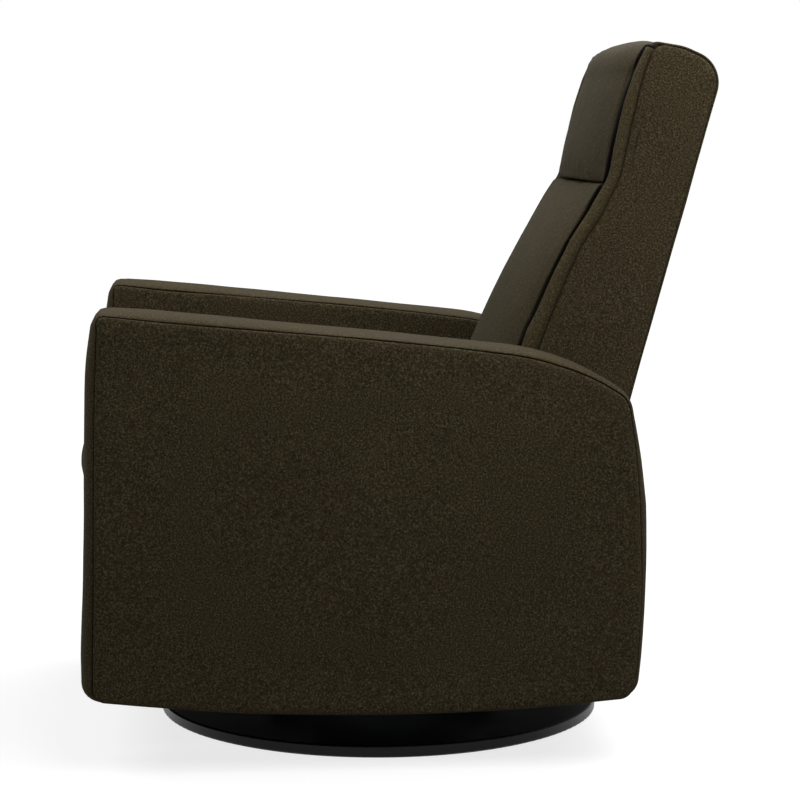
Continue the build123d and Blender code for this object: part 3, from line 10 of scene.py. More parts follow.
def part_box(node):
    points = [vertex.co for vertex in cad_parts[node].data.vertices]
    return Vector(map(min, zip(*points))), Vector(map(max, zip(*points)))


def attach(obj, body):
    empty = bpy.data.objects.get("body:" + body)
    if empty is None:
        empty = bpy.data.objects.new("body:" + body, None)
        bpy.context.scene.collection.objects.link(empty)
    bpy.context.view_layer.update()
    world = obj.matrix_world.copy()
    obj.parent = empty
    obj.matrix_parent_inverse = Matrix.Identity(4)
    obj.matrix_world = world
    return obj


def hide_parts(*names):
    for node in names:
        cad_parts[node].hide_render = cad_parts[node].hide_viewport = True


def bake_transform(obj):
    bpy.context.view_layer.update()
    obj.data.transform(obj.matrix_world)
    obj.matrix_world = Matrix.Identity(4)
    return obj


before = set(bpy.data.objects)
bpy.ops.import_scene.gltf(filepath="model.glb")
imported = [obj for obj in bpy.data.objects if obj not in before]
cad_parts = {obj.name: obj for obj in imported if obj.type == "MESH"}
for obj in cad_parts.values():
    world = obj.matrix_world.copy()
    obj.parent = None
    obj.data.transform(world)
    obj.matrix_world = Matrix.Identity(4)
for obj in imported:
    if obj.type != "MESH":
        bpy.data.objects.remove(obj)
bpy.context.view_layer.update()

bl_info = {
    "name": "Swivel Rocking Chair",
    "version": (1, 0, 0),
    "blender": (4, 5, 0),
    "location": "View3D > Sidebar > Chair",
    "description": "Upholsters the frame of a swivel rocking chair and sets it in a plain studio",
    "category": "Object",
}

# Places read from the frame, in metres
ARM_OUTER_LOW, ARM_OUTER_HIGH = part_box("left_arm_outer_panel")
ARM_INNER_LOW, ARM_INNER_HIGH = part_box("left_arm_inner_panel")
BACK_SIDE_LOW, BACK_SIDE_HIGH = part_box("left_back_side")
REAR_COVER_LOW, REAR_COVER_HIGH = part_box("back_rear_cover")
REAR_PAD_LOW, REAR_PAD_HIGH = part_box("rear_panel_pad")
DUST_LOW, DUST_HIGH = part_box("dust_covers")

# How the arm's cloth stands from the frame's seam line, in metres: the seam itself, then the band's crest.
# Front and rear go by height, the top by depth.
SEAM_EASE = {
    "front": ((0.12, 0.0005), (0.30, 0.0027), (0.48, 0.0056), (0.62, 0.0056)),
    "top": (
        (-0.40, 0.0060), (-0.33, 0.0042), (-0.04, 0.0056), (0.08, 0.0037),
        (0.14, 0.0015), (0.22, -0.0010), (0.31, 0.0022),
    ),
    "rear": ((0.10, 0.0), (0.50, 0.0)),
}
BAND_CREST = {
    "front": (
        (0.10, 0.0130), (0.16, 0.0155), (0.32, 0.0150), (0.45, 0.0178), (0.52, 0.0183),
        (0.545, 0.0182), (0.56, 0.0177), (0.575, 0.0167), (0.59, 0.0151), (0.605, 0.0133), (0.62, 0.0115),
    ),
    "top": (
        (-0.40, 0.0075), (-0.34, 0.0098), (-0.25, 0.0095), (0.03, 0.0060), (0.20, 0.0040), (0.31, 0.0042),
    ),
    "rear": ((0.10, 0.0063), (0.24, 0.0075), (0.36, 0.0108), (0.42, 0.0085), (0.49, 0.0035)),
}
BAND_UNDER_CREST = 0.0048
PANEL_UNDER_EASE = 0.0054
FRONT_CORNER_EASE = 0.005

# Section of the arm's band, in metres: how far it laps each panel, how far its edge lies below the seam,
# the least that its crest stands above that edge, and its lip as (share of the half width, below the edge)
BAND_OVERLAP = 0.0068
BAND_SINK = 0.0026
BAND_RISE = 0.004
BAND_LIP = ((0.978, -0.0013), (0.942, -0.0026), (0.90, -0.0034))
BAND_STEPS = 28
BAND_SQUARENESS = 4
BAND_FULLNESS = 0.6
UNDER_MARGIN = 0.001

# Side outline of the back, in metres: its front seam as (height, Y), then its top, rear and corners
BACK_SEAM = (
    (0.465, 0.1700), (0.585, 0.2118), (0.670, 0.2459), (0.712, 0.2655), (0.754, 0.2932),
    (0.796, 0.3144), (0.817, 0.3215), (0.880, 0.3346), (0.951, 0.3518), (0.998, 0.3685),
)
BACK_REAR_LEAN = tan(radians(15.4))
BACK_TOP_FALL = tan(radians(18.4))
BACK_TOP = 0.998
BACK_TOP_FRONT_Y = 0.373
BACK_BOTTOM = 0.465
BACK_REAR_Y = 0.331
BACK_CORNER_ROUND = 0.046
BACK_REAR_PUFF = 0.0042
BACK_TOP_PUFF = 0.0065
BACK_CROWN_SHIFT = 0.008
BACK_CROWN_ROUND = 0.07
BACK_FRONT_ROUND = 0.025
BACK_FOOT_ROUND = 0.006
SEAM_ROUND = 0.03

# The back's side panels, in metres: how far they pass the rear cloth's line, and where their top starts
BACK_SIDE_INSET = -0.0005
BACK_SIDE_TOP_SHIFT = 0.004
BACK_SIDE_CROWN = 0.0005
BACK_SIDE_ROLL = 1.2

# The borders before the back's sides, in metres: how far each stands forward of its seam by height, how it
# ends at the top, how far it laps inwards, how deep it tucks in, and its heel as (in from outside, forward)
BORDER_WIDTH = (
    (0.585, 0.0185), (0.610, 0.0160), (0.650, 0.0150), (0.700, 0.0125),
    (0.765, 0.0128), (0.805, 0.0096), (0.845, 0.0114), (0.920, 0.0120),
)
BORDER_TOP_ROLL = 0.09
BORDER_TOP_DROP = 0.010
BORDER_LAP = 0.0035
BORDER_TUCK = 0.03
BORDER_HEEL = ((0.010, -BORDER_TUCK), (0.008, -0.0055), (0.0025, -0.0025))
BORDER_STEPS = 20

# The back's rear cloth, in metres: where it ends over the top, how far its edge lies in from the solid's, its
# thickness, its rolled edge as (inward, share of the thickness) and its swell across the width
REAR_CLOTH_FRONT = 0.004
REAR_CLOTH_INSET = 0.0045
REAR_CLOTH_DEPTH = 0.0105
REAR_CLOTH_ROLL = ((0.004, -1.0), (0.003, -0.42), (0.001, -0.3), (0.0, -0.2), (0.0009, -0.08), (0.004, 0.0))
REAR_CLOTH_SWELL = 0.0015
REAR_CLOTH_STEPS = 16

# The padded rear panel of the body, in metres
REAR_PANEL_WRAP = 0.004
REAR_PANEL_ROUND = 0.012
REAR_PANEL_ROLL = 0.9

# The dust cloths, in metres, and the faces along and across each one
DUST_DEPTH = 0.14
DUST_SAG = 0.004
DUST_DROP = 0.0007
DUST_THICKNESS = 0.0006
DUST_GRID = (50, 16)

# How a panel's cloth comes out of its seam and rolls onto the face, in metres: (inward from the seam line,
# below the face)
EDGE_ROLL = (
    (0.0085, 0.0110), (0.0062, 0.0090), (0.0056, 0.0070), (0.0046, 0.0050), (0.0042, 0.0034),
    (0.0049, 0.0020), (0.0068, 0.0010), (0.0098, 0.0004), (0.0150, 0.0),
)
PANEL_RINGS = tuple(1 - ring / 24 for ring in range(1, 24))
SWELL_RISE = 0.4
# Rings further in than this are evened out once for each step more
RELAX_START = 0.0050
RELAX_STEP = 0.0006
# How deep and how broad the unevenness of padding is, in metres: on a panel, and on a strip
PANEL_SETTLE = (0.0009, 0.11)
STRIP_SETTLE = (0.0006, 0.07)

# How each cushion is stuffed, in metres: how much smaller it starts, how far its cloth may swell,
# and how far it may pass its solid's box at the low and at the high corner
SEAT_STUFFING = (0.004, 0.012, ((0.0, 0.004, 0.0), (0.0, 0.0, 0.008)))
LEGREST_STUFFING = (0.002, 0.004, ((0.0, 0.004, 0.002), (0.0, 0.0, 0.0)))
LUMBAR_STUFFING = (0.001, 0.003, ((0.0, 0.006, 0.002), (0.0, 0.0, 0.001)))
HEADREST_STUFFING = (0.001, 0.003, ((0.0, 0.006, 0.001), (0.0, 0.0, 0.004)))
MERGE_DISTANCE = 0.00002
CLOTH_FRAMES = 20

# The seat cushion's round nose, in metres: where it starts, how long it is, and where it eases away upwards
NOSE_START = -0.25
NOSE_LENGTH = 0.15
NOSE_TOP = 0.475
NOSE_EASE = 0.04

# How a back cushion meets its borders, in metres: where its side roll starts across the half width, how far
# the roll stands ahead of the border, how deep behind the front it moves, and how deep the cover tucks in
SIDE_ROLL_START = 0.78
SIDE_STAND = 0.0085
SIDE_REACH = 0.07
SIDE_CLEARANCE = 0.0004
TUCK_DEPTH = 0.009
# The pinch behind the roll and the painted shade beyond it, as (start, length): across the half width, or in
# metres ahead of the border. The painted shade takes the cover to near black for the shadow in the groove.
PINCH_ACROSS = (0.86, 0.08)
PINCH_FRONT = 0.006
PINCH_BACK = (0.02, 0.01)
GROOVE_SHADE_ACROSS = (0.92, 0.06)
GROOVE_SHADE_AHEAD = (0.011, 0.013)
# How far each back cushion's front moves back from where the cloth left it, by height, and then at its sides
LUMBAR_SETBACK = (
    (0.60, 0.0165), (0.66, 0.0172), (0.70, 0.0186), (0.735, 0.0204),
    (0.755, 0.0222), (0.770, 0.0246), (0.79, 0.0290),
)
HEADREST_SETBACK = (
    (0.82, 0.0092), (0.864, 0.0086), (0.93, 0.0086), (0.95, 0.0096), (0.97, 0.0116), (0.99, 0.0126),
)
LUMBAR_FALL = 0.017
HEADREST_FALL = 0.015
FALL_POWER = 2.5
FRONT_STEP = 0.006
EDGE_STEP = 0.003
# Moves of a cushion's cloth up or down, in metres: (height where it starts, where it is full, amount)
LUMBAR_TOP_STRETCH = (0.745, 0.795, 0.0022)
HEADREST_TOP_STRETCH = (0.92, 1.0, 0.0045)
HEADREST_FOOT_STRETCH = (0.85, 0.802, -0.004)
HEADREST_SHOULDER_FALL = 1.3

# Grain of the finishes, in metres: the wool's yarns, flecks, broad tone, nap and puckers, the coat's clouds
# and orange peel, the moulded grain, the beech's grain along each axis, and the steel's drawn lines per metre
YARN_SIZE = 0.0024
FLECK_SIZE = 0.0034
BROAD_SIZE = 0.16
NAP_SIZE = 0.0018
PUCKER_SIZE = 0.02
CLOUD_SIZE = 0.09
PEEL_SIZE = 0.0015
MOULD_GRAIN = 0.001
BEECH_GRAIN = (0.05, 0.12, 0.004)
DRAWN_LINES = (30.0, 600.0, 600.0)
# The one wool as each kind of piece shows it: (shade, contrast of its flecks). The shade is painted light
# and shade: lighter and darker copies of the same wool, set to how light falls on each kind of piece.
PAINTED_LIGHT_WOOLS = {
    "panel_wool": (1.10, 0.95),
    "back_wool": (1.27, 0.85),
    "border_wool": (1.38, 0.6),
    "band_wool": (1.12, 0.6),
    "cushion_wool": (1.09, 0.55),
}

# The studio, in metres: soft square lamps aimed at one point, the camera, and the floor's glow, which grows
# from the near strength to the full one between two distances
LAMPS = {
    "left_light": (1.2, 0.55, 2.1),
    "right_light": (-1.2, 0.55, 2.1),
    "front_light": (0.0, -1.7, 2.3),
    "rear_light": (0.0, 1.9, 2.3),
}
LAMP_TARGET = (0.0, 0.2, 0.6)
LAMP_SIZE = 1.5
LAMP_POWER = 33
CAMERA_PLACE = (3.5703, -0.2633, 0.8753)
CAMERA_YAW = radians(4.742)
CAMERA_PITCH = radians(6.5)
CAMERA_LENS = 107.2
CAMERA_REACH = 200.0
FLOOR_SIZE = 60.0
GLOW_START = 0.9
GLOW_END = 2.6
GLOW_NEAR = 0.78
SURROUND_LIGHT = 0.13


def linear(hex_colour):
    """An sRGB hex colour as linear red, green, blue and full alpha."""
    parts = [int(hex_colour[place:place + 2], 16) / 255 for place in (1, 3, 5)]
    return tuple(c / 12.92 if c <= 0.04045 else ((c + 0.055) / 1.055) ** 2.4 for c in parts) + (1.0,)


def colour(name, description, hex_colour):
    """A colour that the user can change."""
    return bpy.props.FloatVectorProperty(
        name=name, description=description, default=linear(hex_colour),
        subtype="COLOR", size=4, min=0.0, max=1.0,
    )


def length(name, description, default):
    """A length that the user can change."""
    return bpy.props.FloatProperty(name=name, description=description, default=default, unit="LENGTH")


class ChairColours(bpy.types.PropertyGroup):
    """Colours of the chair's finishes."""

    yarn: colour("Yarn", "Main colour of the woven wool cover", "#302a1a")
    dark_yarn: colour("Dark yarn", "Shaded hollows between the cover's yarns", "#130f07")
    light_fleck: colour("Light fleck", "Pale fibres in the cover", "#5a523f")
    warm_fleck: colour("Warm fleck", "Rust-brown fibres in the cover", "#3b2a1b")
    # Painted shade: a near black that stands for the shadow in the narrow groove where a back cushion meets
    # its border
    painted_groove_shade: colour("Painted_shade", "Black lining cloth where a cushion's cover tucks in", "#070605")
    disc: colour("Disc", "Powder coat of the round base", "#060606")
    frame_coat: colour("Frame coat", "Coat of the hidden steel frame", "#1c1c1d")
    floor: colour("Floor", "Studio floor, before the glow that the camera sees", "#8c8c8c")


class ChairSizes(bpy.types.PropertyGroup):
    """Sizes of the upholstery that sits on the frame."""

    panel_crown: length("Panel crown", "How far a padded panel swells at its middle", 0.0025)
    band_depth: length("Band depth", "Thickness of the arm band's padding", 0.021)
    voxel: length("Voxel", "Mesh size that a cushion is simulated at", 0.006)
    outline_step: length("Outline step", "Spacing of the mesh along an outline", 0.008)


def chosen():
    """The chair's sizes and colours as the user has set them."""
    return bpy.context.scene.chair_sizes, bpy.context.scene.chair_colours


def deselect():
    """Nothing selected, so that an operator acts only on its own piece."""
    if bpy.context.mode != "OBJECT":
        bpy.ops.object.mode_set(mode="OBJECT")
    bpy.ops.object.select_all(action="DESELECT")


def activate(piece):
    """Only this piece selected, and active."""
    deselect()
    piece.select_set(True)
    bpy.context.view_layer.objects.active = piece


def new_piece(name, mesh):
    """A new object in the scene that holds a mesh."""
    piece = bpy.data.objects.new(name, mesh)
    bpy.context.scene.collection.objects.link(piece)
    return piece


def apply_modifier(piece, kind, **settings):
    """Add a modifier with its settings and apply it."""
    activate(piece)
    modifier = piece.modifiers.new(kind.title(), kind)
    for key, value in settings.items():
        setattr(modifier, key, value)
    bpy.ops.object.modifier_apply(modifier=modifier.name)


def smooth_shade(piece):
    """Smooth shading all over."""
    activate(piece)
    bpy.ops.object.shade_smooth()


def mirrored(piece, name):
    """The same piece on the sitter's right, with its own mesh."""
    mesh = piece.data.copy()
    mesh.transform(Matrix.Scale(-1, 4, (1, 0, 0)))
    mesh.flip_normals()
    return new_piece(name, mesh)


def merged_copy(name, node):
    """A new piece with a copy of a CAD node's mesh, its loose triangles joined up."""
    piece = new_piece(name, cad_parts[node].data.copy())
    activate(piece)
    bpy.ops.object.mode_set(mode="EDIT")
    bpy.ops.mesh.select_all(action="SELECT")
    bpy.ops.mesh.remove_doubles(threshold=MERGE_DISTANCE)
    bpy.ops.object.mode_set(mode="OBJECT")
    return piece


def coat(mesh, finish):
    """Give a mesh this finish alone."""
    mesh.materials.clear()
    mesh.materials.append(bpy.data.materials[finish])


def dress(piece, body, finish, nodes=()):
    """Give a piece its finish, hang it on its body and hide the CAD nodes that it stands for."""
    coat(piece.data, finish)
    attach(piece, body)
    if nodes:
        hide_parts(*nodes)


def dress_both(piece, body, finish, node):
    """Mirror a left piece to the right and dress both; node is the left one's CAD node, or None."""
    twin = mirrored(piece, piece.name.replace("left", "right"))
    for cover, side in ((piece, "left"), (twin, "right")):
        nodes = (node.replace("left", side),) if node else ()
        dress(cover, body, finish, nodes)


# Outlines


def rounded(points, radii, closed, step):
    """A polygon's places with its corners rounded, spaced about a step apart."""
    count = len(points)
    path = []
    for index, (place, radius) in enumerate(zip(points, radii)):
        here = Vector(place)
        if radius == 0 or (not closed and index in (0, count - 1)):
            path.append(here)
            continue
        before = (Vector(points[index - 1]) - here).normalized()
        after = (Vector(points[(index + 1) % count]) - here).normalized()
        half = before.angle(after) / 2
        reach = radius / tan(half)
        centre = here + (before + after).normalized() * (radius / sin(half))
        first = here + before * reach - centre
        last = here + after * reach - centre
        turn = atan2(first.cross(last), first.dot(last))
        pieces = max(2, round(abs(turn) * radius / (step / 2)))
        for part in range(pieces + 1):
            angle = turn * part / pieces
            path.append(centre + Matrix.Rotation(angle, 2) @ first)
    return spaced(path, closed, step)


def spaced(path, closed, step):
    """Places along a path, one step apart, with every real corner kept close."""
    points = [Vector(place) for place in path]
    if closed:
        points.append(points[0])
    runs = [(b - a).length for a, b in zip(points, points[1:])]
    total = sum(runs)
    count = max(4, round(total / step))
    places = []
    index = 0
    passed = 0.0
    for number in range(count if closed else count + 1):
        goal = total * number / count
        while index < len(runs) - 1 and passed + runs[index] < goal:
            passed += runs[index]
            index += 1
        share = (goal - passed) / runs[index] if runs[index] else 0.0
        places.append(points[index].lerp(points[index + 1], min(share, 1.0)))
    return places


def outward(path, closed):
    """Unit normals of a path, to the right of its direction."""
    count = len(path)
    normals = []
    for index in range(count):
        if closed:
            heading = path[(index + 1) % count] - path[index - 1]
        else:
            heading = path[min(index + 1, count - 1)] - path[max(index - 1, 0)]
        heading.normalize()
        normals.append(Vector((heading.y, -heading.x)))
    return normals


def arm_outline(step):
    """Seam line of an arm as (Y, Z) places, counter-clockwise, read from its outer panel."""
    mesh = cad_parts["left_arm_outer_panel"].data
    plane = ARM_OUTER_LOW[0]
    places = {(round(v.co.y, 5), round(v.co.z, 5)) for v in mesh.vertices if abs(v.co.x - plane) < 1e-4}
    middle_y = sum(y for y, z in places) / len(places)
    middle_z = sum(z for y, z in places) / len(places)
    ordered = sorted(places, key=lambda place: atan2(place[1] - middle_z, place[0] - middle_y))
    return spaced(ordered, True, step)


def along(table, value):
    """Straight-line reading of a table of (place, amount) pairs."""
    if value <= table[0][0]:
        return table[0][1]
    for (low, first), (high, last) in zip(table, table[1:]):
        if value <= high:
            return first + (last - first) * (value - low) / (high - low)
    return table[-1][1]


def lowest(pairs, step):
    """The smallest amount within each step of a range, as a table of (place, amount) pairs."""
    best = {}
    for place, amount in pairs:
        slot = round(place / step)
        best[slot] = min(amount, best.get(slot, amount))
    return tuple((slot * step, best[slot]) for slot in sorted(best))


def eased_share(value):
    """A share from 0 to 1 that starts and ends softly."""
    value = min(max(value, 0.0), 1.0)
    return value * value * (3 - 2 * value)


def around_arm(tables, p, n, under, corner=0.0):
    """Amount at a place on the arm's seam line, mixed by which way the line faces there."""
    amount = under * max(-n.y, 0) ** 2 + corner * (2 * max(-n.x, 0) * max(n.y, 0)) ** 2
    amount += along(tables["front"], p.y) * max(-n.x, 0) ** 2
    amount += along(tables["rear"], p.y) * max(n.x, 0) ** 2
    return amount + along(tables["top"], p.x) * max(n.y, 0) ** 2


def seam_places(low, high):
    """Places of the front seam as (Y, Z), from one height up to another."""
    inner = [(y, z) for z, y in BACK_SEAM if low < z < high]
    return [(along(BACK_SEAM, low), low)] + inner + [(along(BACK_SEAM, high), high)]


def border_width(z):
    """How far the border stands forward of the seam, which runs out at the top."""
    left = max(BACK_TOP - z, 0.0)
    return along(BORDER_WIDTH, z) * min(1.0, sqrt(left / BORDER_TOP_ROLL))


def back_rear_y(z, inset):
    """Rear line of the back at a height, moved in by inset."""
    straight = BACK_REAR_Y + (z - BACK_BOTTOM) * BACK_REAR_LEAN
    return straight + (BACK_REAR_PUFF - inset) * hypot(1, BACK_REAR_LEAN)


def back_corner(inset):
    """Where the back's top and rear lines meet, both moved in by inset."""
    rear_start = back_rear_y(0.0, inset)
    z = back_top_z(rear_start, inset) / (1 + BACK_TOP_FALL * BACK_REAR_LEAN)
    return rear_start + BACK_REAR_LEAN * z, z


def back_top_crown(inset):
    """Middle of the back's top line, which swells above the straight."""
    y = (BACK_TOP_FRONT_Y + back_corner(inset)[0]) / 2 - BACK_CROWN_SHIFT
    return y, back_top_z(y, inset) + BACK_TOP_PUFF


def back_top_z(y, inset):
    """Top line of the back at a depth, moved in by inset."""
    return BACK_TOP - (y - BACK_TOP_FRONT_Y) * BACK_TOP_FALL - inset * hypot(1, BACK_TOP_FALL)


# Padded meshes


def skin(name, rings):
    """A mesh with a wall of quads from each closed ring to the next, and a face over each end."""
    work = bmesh.new()
    rows = [[work.verts.new(place) for place in ring] for ring in rings]
    for low, high in zip(rows, rows[1:]):
        count = len(low)
        for index in range(count):
            after = (index + 1) % count
            work.faces.new((low[index], low[after], high[after], high[index]))
    work.faces.new(rows[0][::-1])
    work.faces.new(rows[-1])
    bmesh.ops.recalc_face_normals(work, faces=work.faces)
    mesh = bpy.data.meshes.new(name)
    work.to_mesh(mesh)
    work.free()
    return new_piece(name, mesh)


def settle(piece, depth, span):
    """Soft unevenness of padding under cloth: each place moves a little along its normal."""
    mesh = piece.data
    shifts = [v.normal * (noise.noise(v.co / span) * depth) for v in mesh.vertices]
    for vertex, shift in zip(mesh.vertices, shifts):
        vertex.co += shift
    mesh.update()


def relaxed(ring, passes):
    """A closed ring with its places evened out, so that a tight corner doesn't fold over."""
    for _ in range(passes):
        after = ring[1:] + ring[:1]
        before = ring[-1:] + ring[:-1]
        ring = [(a + p * 2 + b) / 4 for a, p, b in zip(before, ring, after)]
    return ring


def padded_panel(name, outline, place, thickness, crown, roll=1.0):
    """A thin upholstered panel: rolled edge, then rings that swell to the middle."""
    normals = outward(outline, True)
    rings = []
    for inset, below in EDGE_ROLL:
        ring = [p - n * inset * roll for p, n in zip(outline, normals)]
        rim = relaxed(ring, round(max(inset - RELAX_START, 0.0) / RELAX_STEP))
        rings.append([place(p, thickness - below * roll) for p in rim])
    low = Vector((min(p.x for p in rim), min(p.y for p in rim)))
    high = Vector((max(p.x for p in rim), max(p.y for p in rim)))
    middle = (low + high) / 2
    half = (high - low) / 2

    def swell(p, share):
        across = (p.x - middle.x) / half.x
        up = (p.y - middle.y) / half.y
        return crown * (1 - across * across) * (1 - up * up) * eased_share((1 - share) / SWELL_RISE)

    for share in PANEL_RINGS:
        ring = [middle.lerp(p, share) for p in rim]
        rings.append([place(p, thickness + swell(p, share)) for p in ring])
    piece = skin(name, rings)
    settle(piece, *PANEL_SETTLE)
    smooth_shade(piece)
    return piece


def swept(name, path, normals, section):
    """A strip swept along an open path: section gives its (X, offset along the normal) places by step."""
    rings = []
    for index, (p, n) in enumerate(zip(path, normals)):
        ring = []
        for x, offset in section(index):
            place = p + n * offset
            ring.append(Vector((x, place.x, place.y)))
        rings.append(ring)
    piece = skin(name, rings)
    settle(piece, *STRIP_SETTLE)
    smooth_shade(piece)
    return piece


def stuffed(name, node, start, cap, room):
    """A cushion blown up by cloth simulation from a slightly smaller copy of its solid.

    cap is the furthest that cloth may swell, and room how far it may pass the solid's box on each side.
    """
    sizes, _ = chosen()
    piece = merged_copy(name, node)
    piece.data.remesh_voxel_size = sizes.voxel
    bpy.ops.object.voxel_remesh()
    apply_modifier(piece, "DISPLACE", strength=-start, mid_level=0.0)
    apply_modifier(piece, "SMOOTH", factor=0.5, iterations=3)
    blow_up(piece, cap)
    low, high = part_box(node)
    for vertex in piece.data.vertices:
        for axis in range(3):
            least = low[axis] - room[0][axis]
            most = high[axis] + room[1][axis]
            vertex.co[axis] = min(max(vertex.co[axis], least), most)
    apply_modifier(piece, "SMOOTH", factor=0.5, iterations=2)
    apply_modifier(piece, "SUBSURF", levels=1, render_levels=1)
    smooth_shade(piece)
    return piece


def blow_up(piece, cap):
    """Run the cloth with air pressure inside and no gravity, and keep each place within the cap."""
    scene = bpy.context.scene
    before = [vertex.co.copy() for vertex in piece.data.vertices]
    activate(piece)
    modifier = piece.modifiers.new("Cloth", "CLOTH")
    cloth = modifier.settings
    cloth.quality = 4
    cloth.mass = 0.3
    cloth.tension_stiffness = 15
    cloth.compression_stiffness = 15
    cloth.shear_stiffness = 5
    cloth.bending_stiffness = 0.5
    cloth.use_pressure = True
    cloth.uniform_pressure_force = 4
    cloth.effector_weights.gravity = 0
    modifier.collision_settings.use_self_collision = False
    modifier.point_cache.frame_start = 1
    modifier.point_cache.frame_end = CLOTH_FRAMES
    for step in range(1, CLOTH_FRAMES + 1):
        scene.frame_set(step)
    bpy.ops.object.modifier_apply(modifier="Cloth")
    scene.frame_set(1)
    for vertex, start in zip(piece.data.vertices, before):
        move = vertex.co - start
        if move.length > cap:
            vertex.co = start + move.normalized() * cap


# Finishes


def connect(tree, node, links):
    """Link or set a node's inputs, each by its name or number."""
    for socket, value in links.items():
        if isinstance(value, bpy.types.NodeSocket):
            tree.links.new(value, node.inputs[socket])
        else:
            node.inputs[socket].default_value = value


def add_node(tree, kind, links=None, stops=(), **settings):
    """Add a shader node with its settings, its inputs and, on a ramp, its (position, colour) stops."""
    node = tree.nodes.new("ShaderNode" + kind)
    for key, value in settings.items():
        setattr(node, key, value)
    connect(tree, node, links or {})
    for index, (position, value) in enumerate(stops):
        elements = node.color_ramp.elements
        element = elements[index] if index < len(elements) else elements.new(position)
        element.position = position
        element.color = value
    return node


def new_finish(name):
    """A new material under this name: its node tree, its surface shader and its object coordinates."""
    material = bpy.data.materials.get(name)
    if material:
        bpy.data.materials.remove(material)
    material = bpy.data.materials.new(name)
    material.use_nodes = True
    tree = material.node_tree
    tree.nodes.clear()
    shader = add_node(tree, "BsdfPrincipled")
    add_node(tree, "OutputMaterial", {"Surface": shader.outputs["BSDF"]})
    coordinates = add_node(tree, "TexCoord")
    return tree, shader, coordinates.outputs["Object"]


def woven_wool(name, colours, shade, contrast):
    """Felted wool tweed, woven and brushed: melange yarns, pale and rust flecks, a soft nap with sheen.

    The yarns are about 1 mm, too fine to show, so the flecks are drawn at 2 to 3 mm.
    Where a cushion's cover tucks in behind a border, it goes to near black: painted shade for the shadow
    in that groove. The shade given for each kind of piece is painted light and shade as well.
    """
    tree, shader, place = new_finish(name)
    links = {"Vector": place, "Scale": 1 / YARN_SIZE, "Detail": 3.0, "Roughness": 0.6}
    yarns = add_node(tree, "TexNoise", links)
    stops = ((0.30, colours.dark_yarn), (0.5, colours.yarn), (0.74, colours.light_fleck))
    melange = add_node(tree, "ValToRGB", {"Fac": yarns.outputs["Fac"]}, stops)
    flecks = add_node(tree, "TexNoise", {"Vector": place, "Scale": 1 / FLECK_SIZE, "Detail": 2.0})
    stops = ((0.56, (0, 0, 0, 1)), (0.68, (0.75, 0.75, 0.75, 1)))
    mask = add_node(tree, "ValToRGB", {"Fac": flecks.outputs["Fac"]}, stops)
    links = {"Factor": mask.outputs["Color"], 6: melange.outputs["Color"], 7: colours.warm_fleck}
    flecked = add_node(tree, "Mix", links, data_type="RGBA")
    links = {"Factor": contrast, 6: colours.yarn, 7: flecked.outputs[2]}
    evened = add_node(tree, "Mix", links, data_type="RGBA")
    # Painted light and shade: the given shade scales the random broad tone, so that each kind of piece
    # renders lighter or darker than the others
    broad = add_node(tree, "TexNoise", {"Vector": place, "Scale": 1 / BROAD_SIZE, "Detail": 2.0})
    links = {"Value": broad.outputs["Fac"], 1: 0.3, 2: 0.7, 3: shade * 0.93, 4: shade * 1.07}
    tone = add_node(tree, "MapRange", links)
    links = {0: evened.outputs[2], "Scale": tone.outputs["Result"]}
    toned = add_node(tree, "VectorMath", links, operation="SCALE")
    # Painted shade: by the mask that a back cushion carries, the cover goes to near black in the groove by
    # its border
    tuck = add_node(tree, "Attribute", attribute_name="tuck")
    links = {"Factor": tuck.outputs["Fac"], 6: toned.outputs["Vector"], 7: colours.painted_groove_shade}
    groove_shaded = add_node(tree, "Mix", links, data_type="RGBA")
    nap = add_node(tree, "TexNoise", {"Vector": place, "Scale": 1 / NAP_SIZE, "Detail": 2.0})
    cloth = add_node(tree, "Bump", {"Height": nap.outputs["Fac"], "Strength": 0.35, "Distance": 0.0007})
    pucker = add_node(tree, "TexNoise", {"Vector": place, "Scale": 1 / PUCKER_SIZE, "Detail": 1.0})
    links = {"Height": pucker.outputs["Fac"], "Strength": 0.15, "Distance": 0.002}
    soft = add_node(tree, "Bump", {"Normal": cloth.outputs["Normal"], **links})
    connect(tree, shader, {
        "Base Color": groove_shaded.outputs[2],
        "Normal": soft.outputs["Normal"],
        "Roughness": 0.94,
        "Specular IOR Level": 0.12,
        "Sheen Weight": 0.08,
        "Sheen Roughness": 0.45,
        "Sheen Tint": colours.light_fleck,
    })


def powder_coat(name, base, roughness, gloss):
    """Powder-coated steel: an even satin skin with a faint orange peel of about 1.5 mm."""
    tree, shader, place = new_finish(name)
    cloudy = add_node(tree, "TexNoise", {"Vector": place, "Scale": 1 / CLOUD_SIZE, "Detail": 3.0})
    darker = tuple(c * 0.82 for c in base[:3]) + (1.0,)
    lighter = tuple(min(1.0, c * 1.2) for c in base[:3]) + (1.0,)
    tint = add_node(tree, "ValToRGB", {"Fac": cloudy.outputs["Fac"]}, ((0.3, darker), (0.7, lighter)))
    links = {"Value": cloudy.outputs["Fac"], 1: 0.2, 2: 0.8, 3: roughness - 0.04, 4: roughness + 0.05}
    rough = add_node(tree, "MapRange", links)
    peel = add_node(tree, "TexNoise", {"Vector": place, "Scale": 1 / PEEL_SIZE, "Detail": 1.0})
    bump = add_node(tree, "Bump", {"Height": peel.outputs["Fac"], "Strength": 0.06, "Distance": 0.0003})
    connect(tree, shader, {
        "Base Color": tint.outputs["Color"],
        "Roughness": rough.outputs["Result"],
        "Specular IOR Level": gloss,
        "Normal": bump.outputs["Normal"],
    })


